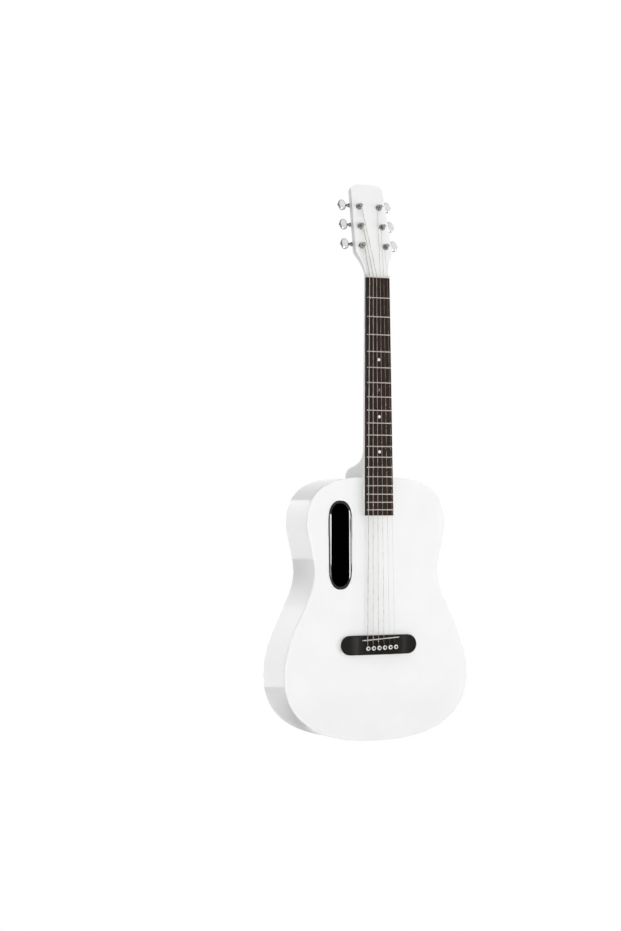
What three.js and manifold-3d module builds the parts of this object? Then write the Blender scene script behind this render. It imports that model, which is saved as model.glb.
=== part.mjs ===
// Travel guitar: hollow moulded body, bolt-on neck with a tilted head, six strings, six geared tuners.
// Millimetres. The guitar is upright: +Z runs up the neck, the soundboard faces -Y and +X is treble.
// While it is drawn, zero is the top end of the fingerboard on the playing surface.
// The finished group is moved so that its origin is where a wall hanger's yoke carries the head.

import * as THREE from 'three';
import { mergeVertices } from 'three/addons/utils/BufferGeometryUtils.js';
import Module from 'manifold-3d';

const wasm = await Module();
wasm.setup();

// Clearances
const seatGap = 0.3;
const fineGap = 0.15;
const boreGap = 0.3;
const windingGap = 0.46;
const overrun = 2;
const mergeStep = 0.0005;

// Scale and frets
const scaleLength = 610;
const fretCount = 18;
const bodyFret = 14;
const semitonesPerOctave = 12;
const fretCrownWidth = 2.2;
const fretCrownHeight = 1;
const fretTangWidth = 0.5;
const fretTangDepth = 1.8;
const fretEndInset = 0.35;

// Fingerboard and nut
const nutWidth = 43.4;
const boardEndWidth = 52;
const boardThickness = 6.5;
const boardPastLastFret = 9.6;
const nutThickness = 4.5;
const nutHeight = 2.6;
const nutSlotHeight = 1.5;
const nutTopFlat = 1.6;
const nutBackDrop = 1.4;

// Neck and heel
const neckDepthAtNut = 20.5;
const neckDepthAtHeel = 22.5;
const neckBackPower = 2.3;
const heelBackPower = 5;
const heelSweep = 52;
const heelShoulderDepth = 70;
const heelShoulderRise = 18;
const heelDepth = 94;
const heelNoseRise = 10;
const heelRootHandle = 22;
const heelShoulderHandle = 30;
const heelNoseHandle = 16;
// How much the heel's back edge sinks for each step of depth at its shoulder
const heelSlopeShare = 0.21;
const tongueThickness = 1.9;
const tongueInset = 0.5;
const tongueEndInset = 3;

// Head
const headTilt = THREE.MathUtils.degToRad(13.8);
const headThickness = 11;
const headFaceAboveNeck = 3.6;
const headRootThickness = 16.5;
const headRootHeight = 36;
const headBackPower = 30;
const headHeight = 167.2;
const headNeckHalfWidth = 22.2;
const headFlareHeight = 41.7;
const headFlareHalfWidth = 35.3;
const headFlareWaist = 18;
const headCornerRound = 3.6;
const headTopHalfWidth = 30.4;
const headTopRound = 14;
const headTopCrown = 2.4;

// Body
const upperBoutHalfWidth = 131.3;
const upperBoutDrop = 80.5;
const waistHalfWidth = 117.4;
const waistDrop = 159.2;
const lowerBoutHalfWidth = 174.4;
const lowerBoutDrop = 337;
const bodyLength = 446.3;
const bodyDepth = 88;
const bodyWall = 3;
const bodyBackRound = 6;
const soundboardThickness = 3;
const blockHalfWidth = 36;
const blockLength = 31;
const tailBlockHalfWidth = 30;
const tailBlockLength = 16;
// Handle lengths of the outline's curves, as shares of the run that each curve covers
const topHandleShare = 0.495;
const shoulderHandleShare = 0.95;
const underBoutHandleShare = 0.23;
const aboveWaistHandleShare = 0.277;
const belowWaistHandleShare = 0.298;
const aboveLowerBoutHandleShare = 0.43;
const belowLowerBoutHandleShare = 0.565;
const tailHandleShare = 0.725;

// Sound hole and its lip
const holeCentreX = -67.5;
const holeTopDrop = 45;
const holeWidth = 31.2;
const holeHeight = 140.3;
const holeTopRound = 11;
const holeBottomRound = 15.5;
const lipWidth = 4.8;
const lipHeight = 1.6;
const lipEdgeRound = 0.8;
const sleeveWall = 2;
const sleeveDepth = 9;

// Bridge, saddle and bridge plate
const bridgeLength = 140.8;
const bridgeWidth = 32.6;
const bridgeThickness = 8.7;
const bridgeWingThickness = 5.4;
const bridgeCentreBehindScale = 12.8;
const bridgeToTreble = 1;
const saddleLength = 69;
const saddleThickness = 3;
const saddleSeatDepth = 4.6;
const saddleTopHeight = 4.9;
const saddleSetback = 1.2;
const saddleBassSetback = 4.4;
const saddleCrownRound = 0.9;
const plateLength = 120;
const plateWidth = 44;
const plateThickness = 2.2;

// Bridge pins
const pinSpacing = 10.6;
const pinsToTreble = 2;
const pinBehindScale = 17.9;
const pinRowSlant = 1.5;
const pinShaftRadius = 2.5;
const pinTipRadius = 2.2;
const pinHeadRadius = 3.65;
const pinHeadHeight = 4.2;
const pinCollarHeight = 1.1;
const pinBelowPlate = 4;
const stringAheadOfPin = 4.6;

// Strings
const stringNutSpread = 34.4;
const stringSaddleSpread = 51.6;
const stringDiameters = [1.35, 1.05, 0.8, 0.6, 0.4, 0.3];
const stringSlotWidth = 1.9;
const stringSides = 6;
const ballRadius = 2;
const ballLength = 3.6;
const windingTurns = 2;
const windingStepsPerTurn = 24;
const windingHeight = 3;

// Tuners
const tunerRows = [52, 87.6, 123.3];
const tunerHalfSpacings = [22.9, 20.9, 19.1];
const postRadius = 3;
const postWaistRadius = 2.6;
const postHeight = 9.8;
const postHoleRadius = 0.75;
const postHoleBelowTop = 1.3;
const postFootRadius = 2;
const postFootLength = 1;
const gearRadius = 5.2;
const gearToothDepth = 1;
const gearTeeth = 14;
const gearThickness = 4.2;
const gearFromHead = 2.3;
const wormOffset = 8.2;
const wormRadius = 2.5;
const wormRootRadius = 1.9;
const wormLength = 9;
const wormRings = 3;
const wormFromHead = 4.4;
const housingThickness = 9.2;
const housingHalfWidth = 8.2;
const housingBelowPost = 8.2;
const housingAbovePost = 13;
const housingRound = 2.4;
const barrelRadius = 4.9;
const flangeRadius = 6;
const flangeThickness = 1.6;
const flangeChamfer = 0.7;
const keyShaftRadius = 1.7;
const keyCollarRadius = 3;
const keyCollarLength = 2.6;
const keyCentreFromPost = 24.6;
const keyWidth = 13.6;
const keyHeight = 19.4;
const keyThickness = 6;
const keyEdgeRound = 1.8;

// Truss rod and neck bolts
const rodWidth = 6;
const rodDepth = 10.2;
const rodStart = 14;
const rodEndAboveBody = 16;
const rodNutRadius = 3;
const rodNutAxisDepth = 17.6;
const rodNutShort = 1.5;
const rodSocketRadius = 1.6;
const rodSocketDepth = 6;
const boltRadius = 3;
const boltHeadRadius = 5;
const boltHeadHeight = 4;
const boltWasherRadius = 8;
const boltWasherThickness = 1.6;
const boltSocketRadius = 2.2;
const boltSocketDepth = 2.6;
const boltReach = 10;
const boltDepths = [37, 67];

// Where a hanger's yoke carries the head
const hangerHeight = 22;
const hangerDepth = 16;

// How finely round shapes are divided
const outlineSteps = 11;
const cornerSteps = 5;
const caseCornerSteps = 2;
const neckRingSteps = 12;
const heelSteps = 6;
const crownSteps = 3;
const socketSides = 6;
const shaftRings = 4;
const hiddenRoundSteps = 8;
const smallRoundSteps = 12;
const roundSteps = 16;

// Places that follow from the sizes above
const lastFretDrop = fretDrop(fretCount);
const boardLength = lastFretDrop + boardPastLastFret;
const bodyTop = -fretDrop(bodyFret);
const bodyBottom = bodyTop - bodyLength;
const neckFront = boardThickness + seatGap;
const soundboardFront = neckFront + tongueThickness + seatGap;
const soundboardBack = soundboardFront + soundboardThickness;
const shellFront = soundboardBack + seatGap;
const bodyBack = soundboardFront + bodyDepth;
const bridgeBack = soundboardFront - seatGap;
const bridgeFront = bridgeBack - bridgeThickness;
const plateFront = soundboardBack + seatGap;
const plateBack = plateFront + plateThickness;
const housingFront = headThickness + seatGap;
const housingBack = housingFront + housingThickness;
const shaftDepth = housingFront + wormFromHead;
const gearFront = housingFront + gearFromHead;
const gearBack = gearFront + gearThickness;
const postBoreRadius = (postRadius + boreGap) / Math.cos(Math.PI / smallRoundSteps);
const gearRoomRadius = (gearRadius + boreGap) / Math.cos(Math.PI / smallRoundSteps);

const pearlWhite = { color: 0xf4f4f2, roughness: 0.16, metalness: 0 };
const darkBoard = { color: 0x2d2420, roughness: 0.5, metalness: 0 };
const fretMetal = { color: 0xb5aca6, roughness: 0.28, metalness: 1 };
const boneWhite = { color: 0xece6d6, roughness: 0.4, metalness: 0 };
const lipBlack = { color: 0x0b0b0c, roughness: 0.08, metalness: 0 };
const bridgeBlack = { color: 0x232120, roughness: 0.55, metalness: 0 };
const tunerChrome = { color: 0xd9dadb, roughness: 0.12, metalness: 1 };
const stringMetal = { color: 0xc9c6c0, roughness: 0.3, metalness: 1 };
const plainSteel = { color: 0x8f9295, roughness: 0.35, metalness: 1 };
const mapleWood = { color: 0xc9a878, roughness: 0.6, metalness: 0 };

function fretDrop(fret) {
  return scaleLength * (1 - 2 ** (-fret / semitonesPerOctave));
}

function boardHalfWidth(drop) {
  return THREE.MathUtils.lerp(nutWidth, boardEndWidth, drop / boardLength) / 2;
}

// Turns a list of points and triangles into a closed geometry whose faces point out
function closedGeometry(points, triangles) {
  let volume = 0;
  for (const [a, b, c] of triangles) {
    volume += points[a].dot(new THREE.Vector3().crossVectors(points[b], points[c]));
  }
  const order = volume < 0 ? triangles.map(([a, b, c]) => [a, c, b]) : triangles;
  const geometry = new THREE.BufferGeometry().setFromPoints(points);
  geometry.setIndex(order.flat());
  geometry.computeVertexNormals();
  return geometry;
}

// A skin through rings of equally many points, closed at both ends by a fan
function loft(rings) {
  const size = rings[0].length;
  const points = rings.flat();
  const triangles = [];
  for (let ring = 0; ring + 1 < rings.length; ring += 1) {
    for (let step = 0; step < size; step += 1) {
      const next = (step + 1) % size;
      const a = ring * size + step;
      const b = ring * size + next;
      triangles.push([a, b, b + size], [a, b + size, a + size]);
    }
  }
  closeEnd(points, triangles, 0, size, true);
  closeEnd(points, triangles, (rings.length - 1) * size, size, false);
  return closedGeometry(points, triangles);
}

function closeEnd(points, triangles, first, size, reversed) {
  const middle = new THREE.Vector3();
  for (let step = 0; step < size; step += 1) {
    middle.add(points[first + step]);
  }
  const centre = points.push(middle.divideScalar(size)) - 1;
  for (let step = 0; step < size; step += 1) {
    const here = first + step;
    const next = first + ((step + 1) % size);
    triangles.push(reversed ? [centre, next, here] : [centre, here, next]);
  }
}

// A round wire through points, with its own radius at each point
function wire(path, radii, sides) {
  const rings = [];
  let normal = new THREE.Vector3(0, 1, 0);
  path.forEach((point, index) => {
    const before = path[Math.max(index - 1, 0)];
    const after = path[Math.min(index + 1, path.length - 1)];
    const along = directionThrough(before, point, after);
    normal = normal.clone().addScaledVector(along, -normal.dot(along)).normalize();
    if (normal.lengthSq() === 0) {
      normal = new THREE.Vector3(1, 0, 0);
    }
    const across = new THREE.Vector3().crossVectors(along, normal);
    const ring = [];
    for (let side = 0; side < sides; side += 1) {
      const angle = (2 * Math.PI * side) / sides;
      const spoke = normal.clone().multiplyScalar(Math.cos(angle));
      spoke.addScaledVector(across, Math.sin(angle));
      ring.push(point.clone().addScaledVector(spoke, radii[index]));
    }
    rings.push(ring);
  });
  return loft(rings);
}

function directionThrough(before, point, after) {
  const incoming = point.clone().sub(before).normalize();
  const outgoing = after.clone().sub(point).normalize();
  return incoming.add(outgoing).normalize();
}

// Solid for cutting and joining
function toSolid(geometry) {
  const bare = geometry.clone();
  bare.deleteAttribute('normal');
  bare.deleteAttribute('uv');
  const merged = mergeVertices(bare, mergeStep);
  const vertProperties = new Float32Array(merged.attributes.position.array);
  const triVerts = new Uint32Array(merged.index.array);
  return new wasm.Manifold(new wasm.Mesh({ numProp: 3, vertProperties, triVerts }));
}

function toGeometry(solid) {
  const { vertProperties, triVerts } = solid.getMesh();
  const geometry = new THREE.BufferGeometry();
  geometry.setAttribute('position', new THREE.BufferAttribute(new Float32Array(vertProperties), 3));
  geometry.setIndex(new THREE.BufferAttribute(new Uint32Array(triVerts), 1));
  geometry.computeVertexNormals();
  return geometry;
}

function cutAway(geometry, cutters) {
  let solid = toSolid(geometry);
  for (const cutter of cutters) {
    solid = solid.subtract(toSolid(cutter));
  }
  return toGeometry(solid);
}

function joined(geometries) {
  const [first, ...others] = geometries;
  let solid = toSolid(first);
  for (const other of others) {
    solid = solid.add(toSolid(other));
  }
  return toGeometry(solid);
}

// A plate drawn in x and z, from one depth to another
function plate(shape, front, back, edgeRound = 0, curveSegments = cornerSteps) {
  const rounded = edgeRound > 0;
  const geometry = new THREE.ExtrudeGeometry(shape, {
    depth: back - front - 2 * edgeRound,
    bevelEnabled: rounded,
    bevelThickness: edgeRound,
    bevelSize: edgeRound,
    bevelOffset: -edgeRound,
    bevelSegments: 1,
    curveSegments,
  });
  geometry.rotateX(Math.PI / 2);
  geometry.translate(0, back - edgeRound, 0);
  return geometry;
}

// A bar along x whose section is drawn in z and y
function crossBar(section, fromX, toX) {
  const geometry = new THREE.ExtrudeGeometry(section, { depth: toX - fromX, bevelEnabled: false });
  const sectionAxes = new THREE.Matrix4().makeBasis(
    new THREE.Vector3(0, 0, 1),
    new THREE.Vector3(0, 1, 0),
    new THREE.Vector3(-1, 0, 0),
  );
  geometry.applyMatrix4(sectionAxes);
  geometry.translate(toX, 0, 0);
  return geometry;
}

function box(lowX, highX, lowY, highY, lowZ, highZ) {
  const geometry = new THREE.BoxGeometry(highX - lowX, highY - lowY, highZ - lowZ);
  geometry.translate((lowX + highX) / 2, (lowY + highY) / 2, (lowZ + highZ) / 2);
  return geometry;
}

function rodAlongZ(radius, x, y, lowZ, highZ, steps = smallRoundSteps) {
  const geometry = new THREE.CylinderGeometry(radius, radius, highZ - lowZ, steps);
  geometry.rotateX(Math.PI / 2);
  geometry.translate(x, y, (lowZ + highZ) / 2);
  return geometry;
}

function rodAlongY(radius, x, z, lowY, highY, steps = smallRoundSteps) {
  const geometry = new THREE.CylinderGeometry(radius, radius, highY - lowY, steps);
  geometry.translate(x, (lowY + highY) / 2, z);
  return geometry;
}

function rodAlongX(radius, y, z, lowX, highX, steps = smallRoundSteps) {
  const geometry = new THREE.CylinderGeometry(radius, radius, highX - lowX, steps);
  geometry.rotateZ(Math.PI / 2);
  geometry.translate((lowX + highX) / 2, y, z);
  return geometry;
}

// A turned piece whose axis is Y; the profile is given as pairs of radius and depth, from either end
function turned(profile, steps) {
  const points = profile.map(([radius, depth]) => new THREE.Vector2(radius, depth));
  const rising = points.at(-1).y > points[0].y;
  return new THREE.LatheGeometry(rising ? points : points.toReversed(), steps);
}

// Turning the order of the corners round keeps the mirrored faces pointing out
function mirroredInX(geometry) {
  const flipped = geometry.clone();
  flipped.scale(-1, 1, 1);
  flipped.index.array.reverse();
  flipped.computeVertexNormals();
  return flipped;
}

function piece(name, geometry, finish) {
  const mesh = new THREE.Mesh(geometry, new THREE.MeshStandardMaterial(finish));
  mesh.name = name;
  return mesh;
}

// Body outline, from the top centre down the treble side and back up the bass side
function bodyShape() {
  const upper = bodyTop - upperBoutDrop;
  const waist = bodyTop - waistDrop;
  const lower = bodyTop - lowerBoutDrop;
  const halves = [
    [[0, bodyTop],
      [topHandleShare * upperBoutHalfWidth, bodyTop],
      [upperBoutHalfWidth, upper + shoulderHandleShare * (bodyTop - upper)],
      [upperBoutHalfWidth, upper]],
    [[upperBoutHalfWidth, upper],
      [upperBoutHalfWidth, upper - underBoutHandleShare * (upper - waist)],
      [waistHalfWidth, waist + aboveWaistHandleShare * (upper - waist)],
      [waistHalfWidth, waist]],
    [[waistHalfWidth, waist],
      [waistHalfWidth, waist - belowWaistHandleShare * (waist - lower)],
      [lowerBoutHalfWidth, lower + aboveLowerBoutHandleShare * (waist - lower)],
      [lowerBoutHalfWidth, lower]],
    [[lowerBoutHalfWidth, lower],
      [lowerBoutHalfWidth, lower - belowLowerBoutHandleShare * (lower - bodyBottom)],
      [tailHandleShare * lowerBoutHalfWidth, bodyBottom],
      [0, bodyBottom]],
  ];
  const shape = new THREE.Shape();
  shape.moveTo(0, bodyTop);
  for (const [, second, third, end] of halves) {
    shape.bezierCurveTo(...second, ...third, ...end);
  }
  for (const [start, second, third] of halves.toReversed()) {
    shape.bezierCurveTo(-third[0], third[1], -second[0], second[1], -start[0], start[1]);
  }
  return shape;
}

// The outline's points, moved square to the edge: a positive inset lies inside
function bodyLoop(inset) {
  const points = bodyShape().getPoints(outlineSteps);
  points.pop();
  return points.map((point, index) => {
    const before = points[(index + points.length - 1) % points.length];
    const after = points[(index + 1) % points.length];
    const along = after.clone().sub(before).normalize();
    return new THREE.Vector2(point.x + along.y * inset, point.y - along.x * inset);
  });
}

function bodyRing(inset, depth) {
  return bodyLoop(inset).map((point) => new THREE.Vector3(point.x, depth, point.y));
}

function bodySlab(inset, front, back) {
  return loft([bodyRing(inset, front), bodyRing(inset, back)]);
}

// Back and sides are one moulded pan with a block at the neck and one at the tail
function bodyShell() {
  const roundStart = bodyBack - bodyBackRound;
  const slope = Math.SQRT1_2;
  const pan = loft([
    bodyRing(bodyBackRound, bodyBack),
    bodyRing(bodyBackRound * (1 - slope), roundStart + bodyBackRound * slope),
    bodyRing(0, roundStart),
    bodyRing(0, shellFront),
    bodyRing(bodyWall, shellFront),
    bodyRing(bodyWall, roundStart),
    bodyRing(bodyBackRound, bodyBack - bodyWall),
  ]);
  const blockFront = shellFront + seatGap;
  const neckBlockTop = bodyTop - bodyWall / 2;
  const neckBlock = box(-blockHalfWidth, blockHalfWidth, blockFront, bodyBack - bodyWall / 2,
    bodyTop - blockLength, neckBlockTop);
  const tailBlock = box(-tailBlockHalfWidth, tailBlockHalfWidth, blockFront, bodyBack - bodyWall / 2,
    bodyBottom + bodyWall / 2, bodyBottom + tailBlockLength);
  const blocks = joined([neckBlock, tailBlock]);
  const inside = toSolid(bodySlab(bodyWall / 2, shellFront, bodyBack));
  const trimmed = toGeometry(toSolid(blocks).intersect(inside));
  const drillings = boltDepths.map((depth) => rodAlongZ(boltRadius + boreGap, 0, depth,
    bodyTop - blockLength - overrun, bodyTop + overrun));
  drillings.push(rodAlongZ(rodNutRadius + boreGap, 0, rodNutAxisDepth,
    bodyTop - blockLength - overrun, bodyTop + overrun));
  return cutAway(joined([pan, trimmed]), drillings);
}

// Rounded slot around the sound hole, grown by a margin
function holeShape(margin) {
  const left = holeCentreX - holeWidth / 2 - margin;
  const right = holeCentreX + holeWidth / 2 + margin;
  const top = bodyTop - holeTopDrop + margin;
  const bottom = bodyTop - holeTopDrop - holeHeight - margin;
  const upperRound = holeTopRound + margin;
  const lowerRound = holeBottomRound + margin;
  const shape = new THREE.Shape();
  shape.moveTo(left, bottom + lowerRound);
  shape.absarc(left + lowerRound, bottom + lowerRound, lowerRound, Math.PI, 1.5 * Math.PI);
  shape.absarc(right - lowerRound, bottom + lowerRound, lowerRound, 1.5 * Math.PI, 2 * Math.PI);
  shape.absarc(right - upperRound, top - upperRound, upperRound, 0, Math.PI / 2);
  shape.absarc(left + upperRound, top - upperRound, upperRound, Math.PI / 2, Math.PI);
  shape.closePath();
  return shape;
}

function soundboard() {
  const opening = plate(holeShape(sleeveWall + seatGap), soundboardFront - overrun,
    soundboardBack + overrun);
  const panel = bodySlab(0, soundboardFront, soundboardBack);
  return cutAway(panel, [opening, ...pinHoles()]);
}

// The glossy lip lies on the soundboard and its sleeve lines the hole
function soundholeRim() {
  const flange = plate(holeShape(lipWidth), soundboardFront - seatGap - lipHeight,
    soundboardFront - seatGap, lipEdgeRound);
  const sleeve = plate(holeShape(sleeveWall), soundboardFront - seatGap - lipHeight / 2,
    soundboardFront + sleeveDepth);
  const opening = plate(holeShape(0), soundboardFront - lipHeight - overrun,
    soundboardFront + sleeveDepth + overrun);
  return cutAway(joined([flange, sleeve]), [opening]);
}

// Fingerboard with one open slot for each fret
function fingerboard() {
  const top = boardHalfWidth(0);
  const end = boardHalfWidth(boardLength);
  const shape = new THREE.Shape();
  shape.moveTo(-top, 0);
  shape.lineTo(-end, -boardLength);
  shape.lineTo(end, -boardLength);
  shape.lineTo(top, 0);
  shape.closePath();
  const slotHalfWidth = fretTangWidth / 2 + fineGap;
  const slots = [];
  for (let fret = 1; fret <= fretCount; fret += 1) {
    const place = -fretDrop(fret);
    slots.push(box(-boardEndWidth, boardEndWidth, -overrun, fretTangDepth + fineGap,
      place - slotHalfWidth, place + slotHalfWidth));
  }
  return cutAway(plate(shape, 0, boardThickness), slots);
}

// Fret wire: a domed crown over a thin tang
function fretWire(fret) {
  const halfCrown = fretCrownWidth / 2;
  const halfTang = fretTangWidth / 2;
  const section = new THREE.Shape();
  section.moveTo(-halfTang, fretTangDepth);
  section.lineTo(-halfTang, -fineGap);
  section.lineTo(-halfCrown, -fineGap);
  section.quadraticCurveTo(-halfCrown, -fineGap - fretCrownHeight, 0, -fineGap - fretCrownHeight);
  section.quadraticCurveTo(halfCrown, -fineGap - fretCrownHeight, halfCrown, -fineGap);
  section.lineTo(halfTang, -fineGap);
  section.lineTo(halfTang, fretTangDepth);
  section.closePath();
  const reach = boardHalfWidth(fretDrop(fret)) - fretEndInset;
  const extrusion = new THREE.ExtrudeGeometry(section, {
    depth: 2 * reach,
    bevelEnabled: false,
    curveSegments: crownSteps,
  });
  extrusion.rotateY(-Math.PI / 2);
  extrusion.translate(reach, 0, -fretDrop(fret));
  return extrusion;
}

// Where string number index crosses a spread of the given width
function stringX(index, spread) {
  const count = stringDiameters.length;
  return spread * (index / (count - 1) - 1 / 2);
}

function stringNutDepth(index) {
  return -nutSlotHeight - fineGap - stringDiameters[index] / 2;
}

// Nut: a bar that falls away towards the head, with one notch for each string
function nut() {
  const section = new THREE.Shape();
  const front = fineGap;
  const back = nutThickness;
  section.moveTo(front, boardThickness);
  section.lineTo(front, -nutHeight);
  section.lineTo(front + nutTopFlat, -nutHeight);
  section.lineTo(back, -nutHeight + nutBackDrop);
  section.lineTo(back, boardThickness);
  section.closePath();
  const bar = crossBar(section, -nutWidth / 2, nutWidth / 2);
  const notches = stringDiameters.map((diameter, index) => {
    const centre = stringX(index, stringNutSpread);
    const half = diameter / 2 + fineGap;
    return box(centre - half, centre + half, -nutHeight - overrun, -nutSlotHeight,
      -overrun, nutThickness + overrun);
  });
  return cutAway(bar, notches);
}

// One level ring of the neck: flat in front, rounded behind
function neckRing(height, halfWidth, front, back, power) {
  const ring = [];
  for (let step = 0; step <= neckRingSteps; step += 1) {
    const angle = (Math.PI * step) / neckRingSteps;
    const across = Math.cos(angle);
    const reach = Math.sin(angle);
    ring.push(new THREE.Vector3(
      -halfWidth * Math.sign(across) * Math.abs(across) ** (2 / power),
      front + (back - front) * Math.abs(reach) ** (2 / power),
      height,
    ));
  }
  return ring;
}

// The heel's back edge seen from the side, as places of height and depth
function heelCurve() {
  const root = new THREE.Vector2(bodyTop + heelSweep, neckDepthAtHeel);
  const shoulder = new THREE.Vector2(bodyTop + heelShoulderRise, heelShoulderDepth);
  const seat = new THREE.Vector2(bodyTop, heelDepth);
  const curve = new THREE.CurvePath();
  curve.add(new THREE.CubicBezierCurve(
    root,
    new THREE.Vector2(root.x - heelRootHandle, root.y),
    new THREE.Vector2(shoulder.x + heelSlopeShare * heelShoulderHandle,
      shoulder.y - heelShoulderHandle),
    shoulder,
  ));
  curve.add(new THREE.CubicBezierCurve(
    shoulder,
    new THREE.Vector2(shoulder.x - heelSlopeShare * heelNoseHandle,
      shoulder.y + heelNoseHandle),
    new THREE.Vector2(seat.x + heelNoseRise, seat.y),
    seat,
  ));
  return curve.getPoints(heelSteps);
}

// Half of the head's outline, from its top centre down to the nut, as half widths and heights
function headProfile() {
  const sideTop = headHeight - headTopRound - headTopCrown;
  const crownSide = headTopHalfWidth - headTopRound;
  const half = new THREE.Path();
  half.moveTo(0, headHeight);
  half.quadraticCurveTo(crownSide / 2, headHeight, crownSide, headHeight - headTopCrown / 2);
  half.quadraticCurveTo(headTopHalfWidth, headHeight - headTopCrown, headTopHalfWidth, sideTop);
  half.lineTo(headFlareHalfWidth, headFlareHeight + headCornerRound);
  half.quadraticCurveTo(headFlareHalfWidth, headFlareHeight,
    headFlareHalfWidth - headCornerRound / 2, headFlareHeight - headCornerRound);
  half.quadraticCurveTo(headNeckHalfWidth, headFlareWaist, headNeckHalfWidth, 0);
  return half.getPoints(cornerSteps).slice(1);
}

// The head's own frame: its face leans back from behind the nut
const headFrame = new THREE.Group();
headFrame.position.set(0, neckFront - headFaceAboveNeck, nutThickness + seatGap);
headFrame.rotation.x = -headTilt;
headFrame.updateMatrix();

// One ring of the head, square to its face: thick and round at the nut, thin and square higher up
function headRing({ x: halfWidth, y: height }) {
  const share = Math.max(0, 1 - height / headRootHeight);
  const thickness = THREE.MathUtils.lerp(headThickness, headRootThickness, share * share);
  const power = 1 / THREE.MathUtils.lerp(1 / headBackPower, 1 / neckBackPower, share);
  const ring = neckRing(height, halfWidth, 0, thickness, power);
  return ring.map((point) => point.applyMatrix4(headFrame.matrix));
}

// Head, neck shaft and heel as one skin of rings
function neckSkin() {
  const rings = headProfile().map(headRing);
  rings.push(neckRing(-seatGap, boardHalfWidth(0), neckFront, neckDepthAtNut, neckBackPower));
  const heelPoints = heelCurve();
  const root = heelPoints[0];
  for (let step = 1; step < shaftRings; step += 1) {
    const share = step / shaftRings;
    const height = root.x * share;
    rings.push(neckRing(height, boardHalfWidth(-height), neckFront,
      THREE.MathUtils.lerp(neckDepthAtNut, neckDepthAtHeel, share), neckBackPower));
  }
  for (const point of heelPoints) {
    const share = (point.y - root.y) / (heelDepth - root.y);
    rings.push(neckRing(point.x, boardHalfWidth(-point.x), neckFront, point.y,
      THREE.MathUtils.lerp(neckBackPower, heelBackPower, share)));
  }
  rings.push(neckRing(bodyTop - 2 * overrun, boardHalfWidth(-bodyTop), neckFront,
    heelDepth, heelBackPower));
  return loft(rings);
}

function tunerPlaces() {
  const bass = tunerRows.map((height, row) => ({ side: -1, x: -tunerHalfSpacings[row], height }));
  const treble = tunerRows.map((height, row) => ({ side: 1, x: tunerHalfSpacings[row], height }));
  return [...bass, ...treble.toReversed()];
}

function neck() {
  const tunerHoles = tunerPlaces().map(({ x, height }) => {
    const hole = rodAlongY(barrelRadius + 2 * boreGap, x, height, -overrun, headThickness + overrun);
    return hole.applyMatrix4(headFrame.matrix);
  });
  const nutSeat = box(-nutWidth, nutWidth, -nutWidth, neckFront, -nutThickness, nutThickness + seatGap);
  const tongueTop = bodyTop + overrun;
  const tongueBottom = -boardLength + tongueEndInset;
  const tongueHalf = boardHalfWidth(-bodyTop) - tongueInset;
  const tongue = box(-tongueHalf, tongueHalf, neckFront, neckFront + tongueThickness,
    tongueBottom, tongueTop);
  const bodyClearance = bodySlab(-seatGap, soundboardFront - seatGap, bodyBack + seatGap);
  const channelHalf = rodWidth / 2 + boreGap;
  const channelEnd = bodyTop + rodEndAboveBody - boreGap;
  const channel = box(-channelHalf, channelHalf,
    neckFront - overrun, neckFront + rodDepth + 2 * boreGap,
    channelEnd, -rodStart + boreGap);
  const nutBore = rodAlongZ(rodNutRadius + boreGap, 0, rodNutAxisDepth,
    bodyTop - overrun, channelEnd + overrun + 2 * boreGap);
  const boltHoles = boltDepths.map((depth) => rodAlongZ(boltRadius + boreGap, 0, depth,
    bodyTop - overrun, bodyTop + boltReach + boreGap));
  return cutAway(joined([neckSkin(), tongue]),
    [...tunerHoles, nutSeat, bodyClearance, channel, nutBore, ...boltHoles]);
}

// Truss rod: a flat bar in the neck's channel and a socket nut that is reached through the body's block
function trussRod() {
  const top = neckFront + boreGap;
  const bar = box(-rodWidth / 2, rodWidth / 2, top, top + rodDepth,
    bodyTop + rodEndAboveBody, -rodStart);
  const socketNut = rodAlongZ(rodNutRadius, 0, rodNutAxisDepth,
    bodyTop + rodNutShort, bodyTop + rodEndAboveBody + overrun);
  const socket = rodAlongZ(rodSocketRadius, 0, rodNutAxisDepth,
    bodyTop - overrun, bodyTop + rodNutShort + rodSocketDepth, socketSides);
  return cutAway(joined([bar, socketNut]), [socket]);
}

function neckBolt(depth) {
  const washerBottom = bodyTop - blockLength - seatGap - boltWasherThickness;
  const headBottom = washerBottom - boltHeadHeight;
  const shank = rodAlongZ(boltRadius, 0, depth, washerBottom, bodyTop + boltReach);
  const washerTop = washerBottom + boltWasherThickness;
  const washer = rodAlongZ(boltWasherRadius, 0, depth, washerBottom, washerTop, roundSteps);
  const head = rodAlongZ(boltHeadRadius, 0, depth, headBottom, washerBottom + boltWasherThickness / 2);
  const socket = rodAlongZ(boltSocketRadius, 0, depth,
    headBottom - overrun, headBottom + boltSocketDepth, socketSides);
  return cutAway(joined([shank, washer, head]), [socket]);
}

function stadium(length, width) {
  const radius = width / 2;
  const reach = length / 2 - radius;
  const shape = new THREE.Shape();
  shape.moveTo(-reach, -radius);
  shape.absarc(reach, 0, radius, -Math.PI / 2, Math.PI / 2);
  shape.absarc(-reach, 0, radius, Math.PI / 2, 1.5 * Math.PI);
  shape.closePath();
  return shape;
}

function pinPlace(index) {
  const x = stringX(index, pinSpacing * (stringDiameters.length - 1)) + pinsToTreble;
  const slant = pinRowSlant * (index / (stringDiameters.length - 1) - 1 / 2);
  return { x, z: -scaleLength - pinBehindScale + slant };
}

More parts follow.
